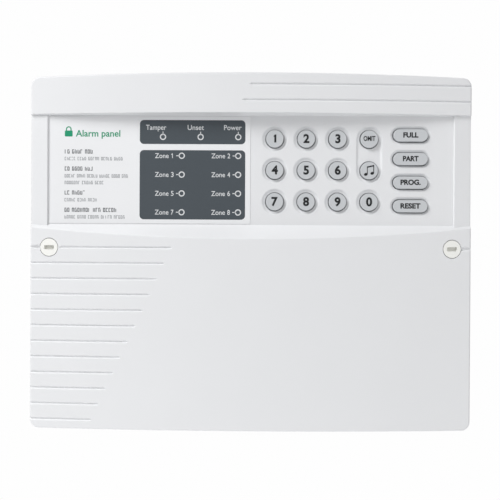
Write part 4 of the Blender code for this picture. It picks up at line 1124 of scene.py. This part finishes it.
cavity = bowed_body("cavity", COVER_WALL, COVER_WALL, 0.01)
back_half = pocket_half + COVER_WALL
backing = prism("backing", pocket_section(POCKET_WALL), "x", -back_half, back_half)
cavity = carved(
    "cavity", cavity, [("DIFFERENCE", [backing]), ("DIFFERENCE", side_strips("behind", COVER_WALL))]
)
ends = [
    (-1 - END_SLANT / pocket_half, END_RISE), (-1, 0.0), (1, 0.0), (1 + END_SLANT / pocket_half, END_RISE)
]
rings = [[(share * pocket_half, y, z) for y, z in pocket_section(0.0, lift)] for share, lift in ends]
pocket = loft("pocket", rings)
label_seat = block(
    "label_seat",
    (label_low.x - SEAT_GAP, label_high.x + SEAT_GAP),
    (floor_y - 0.001, label_high.y + SEAT_GAP),
    (label_low.z - SEAT_GAP, label_high.z + SEAT_GAP),
)
shell = carved(
    "cover_shell",
    bowed_body("cover_shell", 0.0, 0.0, rim_back),
    [
        ("DIFFERENCE", [cavity]),
        ("DIFFERENCE", [pocket]),
        ("DIFFERENCE", side_strips("strip", 0.0)),
        ("DIFFERENCE", [across("top_edge", top_edge)]),
        ("DIFFERENCE", [across("foot_edge", foot_edge)]),
        ("UNION", bosses),
        ("DIFFERENCE", recesses),
        ("DIFFERENCE", bores),
        ("DIFFERENCE", pries),
        ("DIFFERENCE", [label_seat]),
        ("DIFFERENCE", wells),
        ("DIFFERENCE", [trough]),
        ("DIFFERENCE", holes),
        ("DIFFERENCE", grooves),
    ],
)
white_abs = moulded("white_abs_satin", "#E9EAEC", 0.42, 0.5, 0.012)
piece("cover_shell", shell, white_abs, "cover", "cover_shell", "front_cover")


# ---- Printed label -----------------------------------------------------------------------------
# A polycarbonate film in its shallow seat, printed from behind in pale grey, with two smoked windows
# over the indicators. Each indicator shows through a printed ring with a tick to its name.
WINDOW_THICK = 0.00006
label_face = label_low.y


# Textured film: a fine velvet surface over an even printed colour.
label_film = moulded("velvet_film_pale", "#F0F1F3", 0.38, 0.25, 0.004)
smoked_film = moulded("velvet_film_smoked", "#4B5258", 0.38, 0.25, 0.004)
pale_ink = ink("pale_screen_ink", "#D6D8DA", 0.45)
grey_ink = ink("grey_screen_ink", "#8F9296", 0.45)
dark_ink = ink("dark_screen_ink", "#5D6064", 0.45)
green_ink = ink("green_screen_ink", "#12926A", 0.45)


SHEET_CORNER = 0.0004
SHEET_EDGE = 0.00008
sheet_rings = []
for inset, y in ((0.0, label_high.y), (0.0, label_face + SHEET_EDGE), (SHEET_EDGE, label_face)):
    x_span = (label_low.x + inset, label_high.x - inset)
    z_span = (label_low.z + inset, label_high.z - inset)
    sheet_rings.append([(x, y, z) for x, z in rounded(x_span, z_span, SHEET_CORNER)])
piece("label_film", loft("label", sheet_rings), label_film, "cover", "label_film", "legend_label")

power = middle("led_power")
first_zone = middle("led_zone_1")
last_zone = middle("led_zone_8")
window_right = power.x + 0.0045
window_left = power.x - 0.0628
windows = []
for name, low, high in (
    ("upper", power.z - 0.00455, power.z + 0.0107),
    ("lower", last_zone.z - 0.0046, first_zone.z + 0.00355),
):
    outline = rounded((window_left, window_right), (low, high), 0.0026)
    windows.append(prism("window", outline, "y", label_face - WINDOW_THICK, label_face + 0.00002))
piece("label_windows", gathered("windows", windows), smoked_film, "cover", "label_film")

RING_RADIUS = 0.00165
RING_STROKE = 0.00036
ring_tree, given = new_tree(
    "indicator_rings",
    [
        ("Radius", FLOAT),
        ("Stroke", FLOAT),
        ("Thickness", FLOAT),
        ("Tick X", FLOAT),
        ("Tick Z", FLOAT),
        ("Material", "NodeSocketMaterial"),
    ],
)
circle = add(ring_tree, "GeometryNodeCurvePrimitiveCircle", {"Resolution": 48, "Radius": (given, "Radius")})
band_width = add(ring_tree, "ShaderNodeMath", {0: (given, "Stroke"), 1: 2.0}, operation="MULTIPLY")
band = add(
    ring_tree,
    "GeometryNodeCurvePrimitiveQuadrilateral",
    {"Width": (band_width, 0), "Height": (given, "Thickness")},
)
ring = add(ring_tree, "GeometryNodeCurveToMesh", {"Curve": (circle, 0), "Profile Curve": (band, 0)})
upright = add(ring_tree, "GeometryNodeTransform", {"Geometry": (ring, 0), "Rotation": (math.pi / 2, 0, 0)})
tick_size = add(
    ring_tree, "ShaderNodeCombineXYZ", {0: (given, "Tick X"), 1: (given, "Thickness"), 2: (given, "Tick Z")}
)
tick = add(ring_tree, "GeometryNodeMeshCube", {"Size": (tick_size, 0)})
# The tick's longer side runs out from the ring: to the left, or up.
longer = add(
    ring_tree, "ShaderNodeMath", {0: (given, "Tick X"), 1: (given, "Tick Z")}, operation="GREATER_THAN"
)
upward = add(ring_tree, "ShaderNodeMath", {0: 1.0, 1: (longer, 0)}, operation="SUBTRACT")
half_x = add(
    ring_tree,
    "ShaderNodeMath",
    {0: (given, "Tick X"), 1: 0.5, 2: (given, "Radius")},
    operation="MULTIPLY_ADD",
)
half_z = add(
    ring_tree,
    "ShaderNodeMath",
    {0: (given, "Tick Z"), 1: 0.5, 2: (given, "Radius")},
    operation="MULTIPLY_ADD",
)
out_x = add(ring_tree, "ShaderNodeMath", {0: (half_x, 0), 1: (longer, 0)}, operation="MULTIPLY")
left_x = add(ring_tree, "ShaderNodeMath", {0: (out_x, 0), 1: -1.0}, operation="MULTIPLY")
out_z = add(ring_tree, "ShaderNodeMath", {0: (half_z, 0), 1: (upward, 0)}, operation="MULTIPLY")
shift = add(ring_tree, "ShaderNodeCombineXYZ", {0: (left_x, 0), 2: (out_z, 0)})
placed_tick = add(ring_tree, "GeometryNodeTransform", {"Geometry": (tick, 0), "Translation": (shift, 0)})
sign = add(ring_tree, "GeometryNodeJoinGeometry")
ring_tree.links.new(upright.outputs[0], sign.inputs[0])
ring_tree.links.new(placed_tick.outputs[0], sign.inputs[0])
signs = add(ring_tree, "GeometryNodeInstanceOnPoints", {0: (given, "Geometry"), "Instance": (sign, 0)})
end_tree(ring_tree, signs, 0, given)

on_window = label_face - WINDOW_THICK - PRINT_THICK / 4
size = {"Radius": RING_RADIUS, "Stroke": RING_STROKE, "Thickness": PRINT_THICK}
status = [(middle("led_" + name).x, on_window, middle("led_" + name).z) for name in INDICATORS[:3]]
zones = [(middle("led_" + name).x, on_window, middle("led_" + name).z) for name in INDICATORS[3:]]
prints = [
    grown("status_rings", ring_tree, status, **size, **{"Tick X": 0.00055, "Tick Z": 0.0017}),
    grown("zone_rings", ring_tree, zones, **size, **{"Tick X": 0.0019, "Tick Z": 0.00055}),
]
for name, width in (("power", 0.0112), ("unset", 0.0104), ("tamper", 0.0130)):
    spot = middle("led_" + name)
    text = name.capitalize()
    prints.append(
        lettering(text, 0.0031, spot.x + 0.0021, spot.z + 0.0045, on_window, "RIGHT", 0.009, width)
    )
for i in range(1, 9):
    spot = middle(f"led_zone_{i}")
    word_right = spot.x - 0.0083
    prints.append(lettering("Zone", 0.0030, word_right, spot.z - 0.0015, on_window, "RIGHT", 0.009, 0.0088))
    if i == 1:
        prints.append(figure_one(0.0030, spot.x - 0.0060, spot.z - 0.0015, on_window, 0.00042))
    else:
        prints.append(
            lettering(str(i), 0.0030, spot.x - 0.0051, spot.z - 0.0015, on_window, "RIGHT", 0.014, 0.0017)
        )
piece("label_names", gathered("names", prints), pale_ink, "cover", "label_film")

# The left of the label holds a plain padlock sign, and lines of dummy text that say nothing: strokes
# the size of letters, grouped as words. The headings are taller and darker than the lines under them.
text_tree, given = new_tree(
    "dummy_text",
    [("Height", FLOAT), ("Width", FLOAT), ("Stroke", FLOAT), ("Thickness", FLOAT)]
    + [("Seed", "NodeSocketInt"), ("Material", "NodeSocketMaterial")],
)
# A letter is up to four strokes: left and right uprights and bars at the top and the foot.
one = add(text_tree, "GeometryNodeMeshCube", {"Size": (1, 1, 1)})
raised = add(text_tree, "GeometryNodeTransform", {"Geometry": (one, 0), "Translation": (0.5, 0, 0.5)})
all_strokes = add(text_tree, "GeometryNodeJoinGeometry")
for number, (upright_stroke, chance, shortest, across_share, up_share) in enumerate(
    [(True, 0.95, 0.9, 0, 0), (True, 0.75, 0.6, 1, 0), (False, 0.75, 0.8, 0, 1), (False, 0.6, 0.8, 0, 0)]
):
    seed = add(text_tree, "ShaderNodeMath", {0: (given, "Seed"), 1: float(number)})
    drawn = add(
        text_tree, "FunctionNodeRandomValue", {"Probability": chance, "Seed": (seed, 0)}, data_type="BOOLEAN"
    )
    spread = add(
        text_tree, "FunctionNodeRandomValue", {2: shortest, 3: 1.0, "Seed": (seed, 0)}, data_type="FLOAT"
    )
    full = (given, "Height") if upright_stroke else (given, "Width")
    reach = add(text_tree, "ShaderNodeMath", {0: (spread, 1), 1: full}, operation="MULTIPLY")
    sides = ((given, "Stroke"), (reach, 0)) if upright_stroke else ((reach, 0), (given, "Stroke"))
    size = add(text_tree, "ShaderNodeCombineXYZ", {0: sides[0], 1: (given, "Thickness"), 2: sides[1]})
    set_of = add(
        text_tree,
        "GeometryNodeInstanceOnPoints",
        {0: (given, "Geometry"), "Selection": (drawn, 3), "Instance": (raised, 0), "Scale": (size, 0)},
    )
    inner_x = add(
        text_tree, "ShaderNodeMath", {0: (given, "Width"), 1: (given, "Stroke")}, operation="SUBTRACT"
    )
    inner_z = add(
        text_tree, "ShaderNodeMath", {0: (given, "Height"), 1: (given, "Stroke")}, operation="SUBTRACT"
    )
    move_x = add(
        text_tree, "ShaderNodeMath", {0: (inner_x, 0), 1: float(across_share)}, operation="MULTIPLY"
    )
    move_z = add(text_tree, "ShaderNodeMath", {0: (inner_z, 0), 1: float(up_share)}, operation="MULTIPLY")
    move = add(text_tree, "ShaderNodeCombineXYZ", {0: (move_x, 0), 2: (move_z, 0)})
    moved = add(
        text_tree,
        "GeometryNodeTranslateInstances",
        {"Instances": (set_of, 0), "Translation": (move, 0), "Local Space": False},
    )
    text_tree.links.new(moved.outputs[0], all_strokes.inputs[0])
end_tree(text_tree, all_strokes, 0, given)

headings, lines = [], []
text_left = label_low.x + 0.0098
HEADING = {"Height": 0.0026, "Width": 0.00135, "Stroke": 0.00046}
LINE = {"Height": 0.0021, "Width": 0.00105, "Stroke": 0.00032}
rows = [
    (45.75, HEADING, 1.75, (2, 4, 3)),
    (41.25, LINE, 1.45, (5, 4, 5, 5, 4)),
    (34.85, HEADING, 1.75, (2, 4, 3)),
    (30.25, LINE, 1.38, (5, 4, 5, 5, 4, 3)),
    (25.95, LINE, 1.45, (7, 5, 4)),
    (19.55, HEADING, 1.75, (2, 5)),
    (14.95, LINE, 1.45, (5, 4, 4)),
    (8.55, HEADING, 1.75, (2, 7, 3, 5)),
    (4.05, LINE, 1.45, (5, 4, 5, 5, 5)),
]
for seed, (above, style, pitch, words) in enumerate(rows):
    x = text_left
    points = []
    for word in words:
        for _ in range(word):
            points.append(
                (x, label_face - PRINT_THICK / 4, label_low.z + above / 1000 - style["Height"] / 2)
            )
            x += pitch / 1000
        x += 0.7 * pitch / 1000
    strokes = grown("line", text_tree, points, Thickness=PRINT_THICK, Seed=7 * seed, **style)
    (headings if style is HEADING else lines).append(strokes)
piece("label_headings", gathered("headings", headings), dark_ink, "cover", "label_film")
piece("label_lines", gathered("lines", lines), grey_ink, "cover", "label_film")

lock_x, lock_z = text_left + 0.0025, label_high.z - 0.0111
reach = (label_face - PRINT_THICK / 2, label_face + PRINT_THICK / 4)
SHACKLE_OUTER = 0.0018
SHACKLE_INNER = 0.0011
body_outline = rounded((lock_x - 0.0025, lock_x + 0.0025), (lock_z - 0.002, lock_z + 0.0018), 0.0006)
foot_z, bend_z = lock_z + 0.0015, lock_z + 0.0027
shackle = [(lock_x - SHACKLE_OUTER, foot_z), *arc(lock_x, bend_z, SHACKLE_OUTER, 180, 0, 16)]
shackle += [(lock_x + SHACKLE_OUTER, foot_z), (lock_x + SHACKLE_INNER, foot_z)]
shackle += [*arc(lock_x, bend_z, SHACKLE_INNER, 0, 180, 16), (lock_x - SHACKLE_INNER, foot_z)]
lock_body = prism("lock", body_outline, "y", *reach)
lock = carved("lock", lock_body, [("UNION", [prism("shackle", shackle, "y", *reach)])])
word = lettering(
    "Alarm panel", 0.0040, lock_x + 0.0045, lock_z - 0.0019, label_face - PRINT_THICK / 4, "LEFT", 0.016
)
piece("label_sign", gathered("sign", [lock, word]), green_ink, "cover", "label_film")


# ---- Cover screws ------------------------------------------------------------------------------
# Two zinc-plated steel screws at the bottom of the round recesses hold the cover to the tray.
dress(zinc, "cover_screw_left", "cover_screw_right")


# ---- Screw caps --------------------------------------------------------------------------------
# Push-in discs of the same ABS, a shade creamier, that hide the two cover screws. Each follows the
# bow of the cover and has a short slot for a coin or a fingernail.
CAP_THICK = 0.0032
SLOT_WIDTH = 0.0065
SLOT_HEIGHT = 0.0026
SLOT_DEPTH = 0.0028
cap_abs = moulded("cream_abs_cap", "#F7F7F3", 0.40, 0.5, 0.010)
for name, side in (("left", -1), ("right", 1)):
    x = side * screw_x
    face = bowed(screw_x)
    body = turned("cap", [(cap_radius, front - 0.002), (cap_radius, face + CAP_THICK)], x, screw_z)
    bowl = bowed_body("bow", 0.0, 0.0, rim_back)
    skirt_out = [(cap_radius - GAP, face + CAP_THICK - 0.0003), (cap_radius - GAP, cap_high.y)]
    skirt_in = [(cap_radius - 0.0015, face + CAP_THICK - 0.0001), (cap_radius - 0.0015, cap_high.y + 0.001)]
    x_span = (x - SLOT_WIDTH / 2, x + SLOT_WIDTH / 2)
    z_span = (screw_z - SLOT_HEIGHT / 2, screw_z + SLOT_HEIGHT / 2)
    outline = rounded(x_span, z_span, SLOT_HEIGHT * 0.3, 5)
    cap = carved(
        "cap",
        body,
        [
            ("INTERSECT", [bowl]),
            ("UNION", [turned("skirt", skirt_out, x, screw_z)]),
            ("DIFFERENCE", [turned("skirt_hollow", skirt_in, x, screw_z)]),
            ("DIFFERENCE", [prism("slot", outline, "y", front - 0.002, face + SLOT_DEPTH)]),
        ],
    )
    piece(f"cap_{name}", cap, cap_abs, "cover", "cover_shell", f"screw_cap_{name}")


low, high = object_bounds()
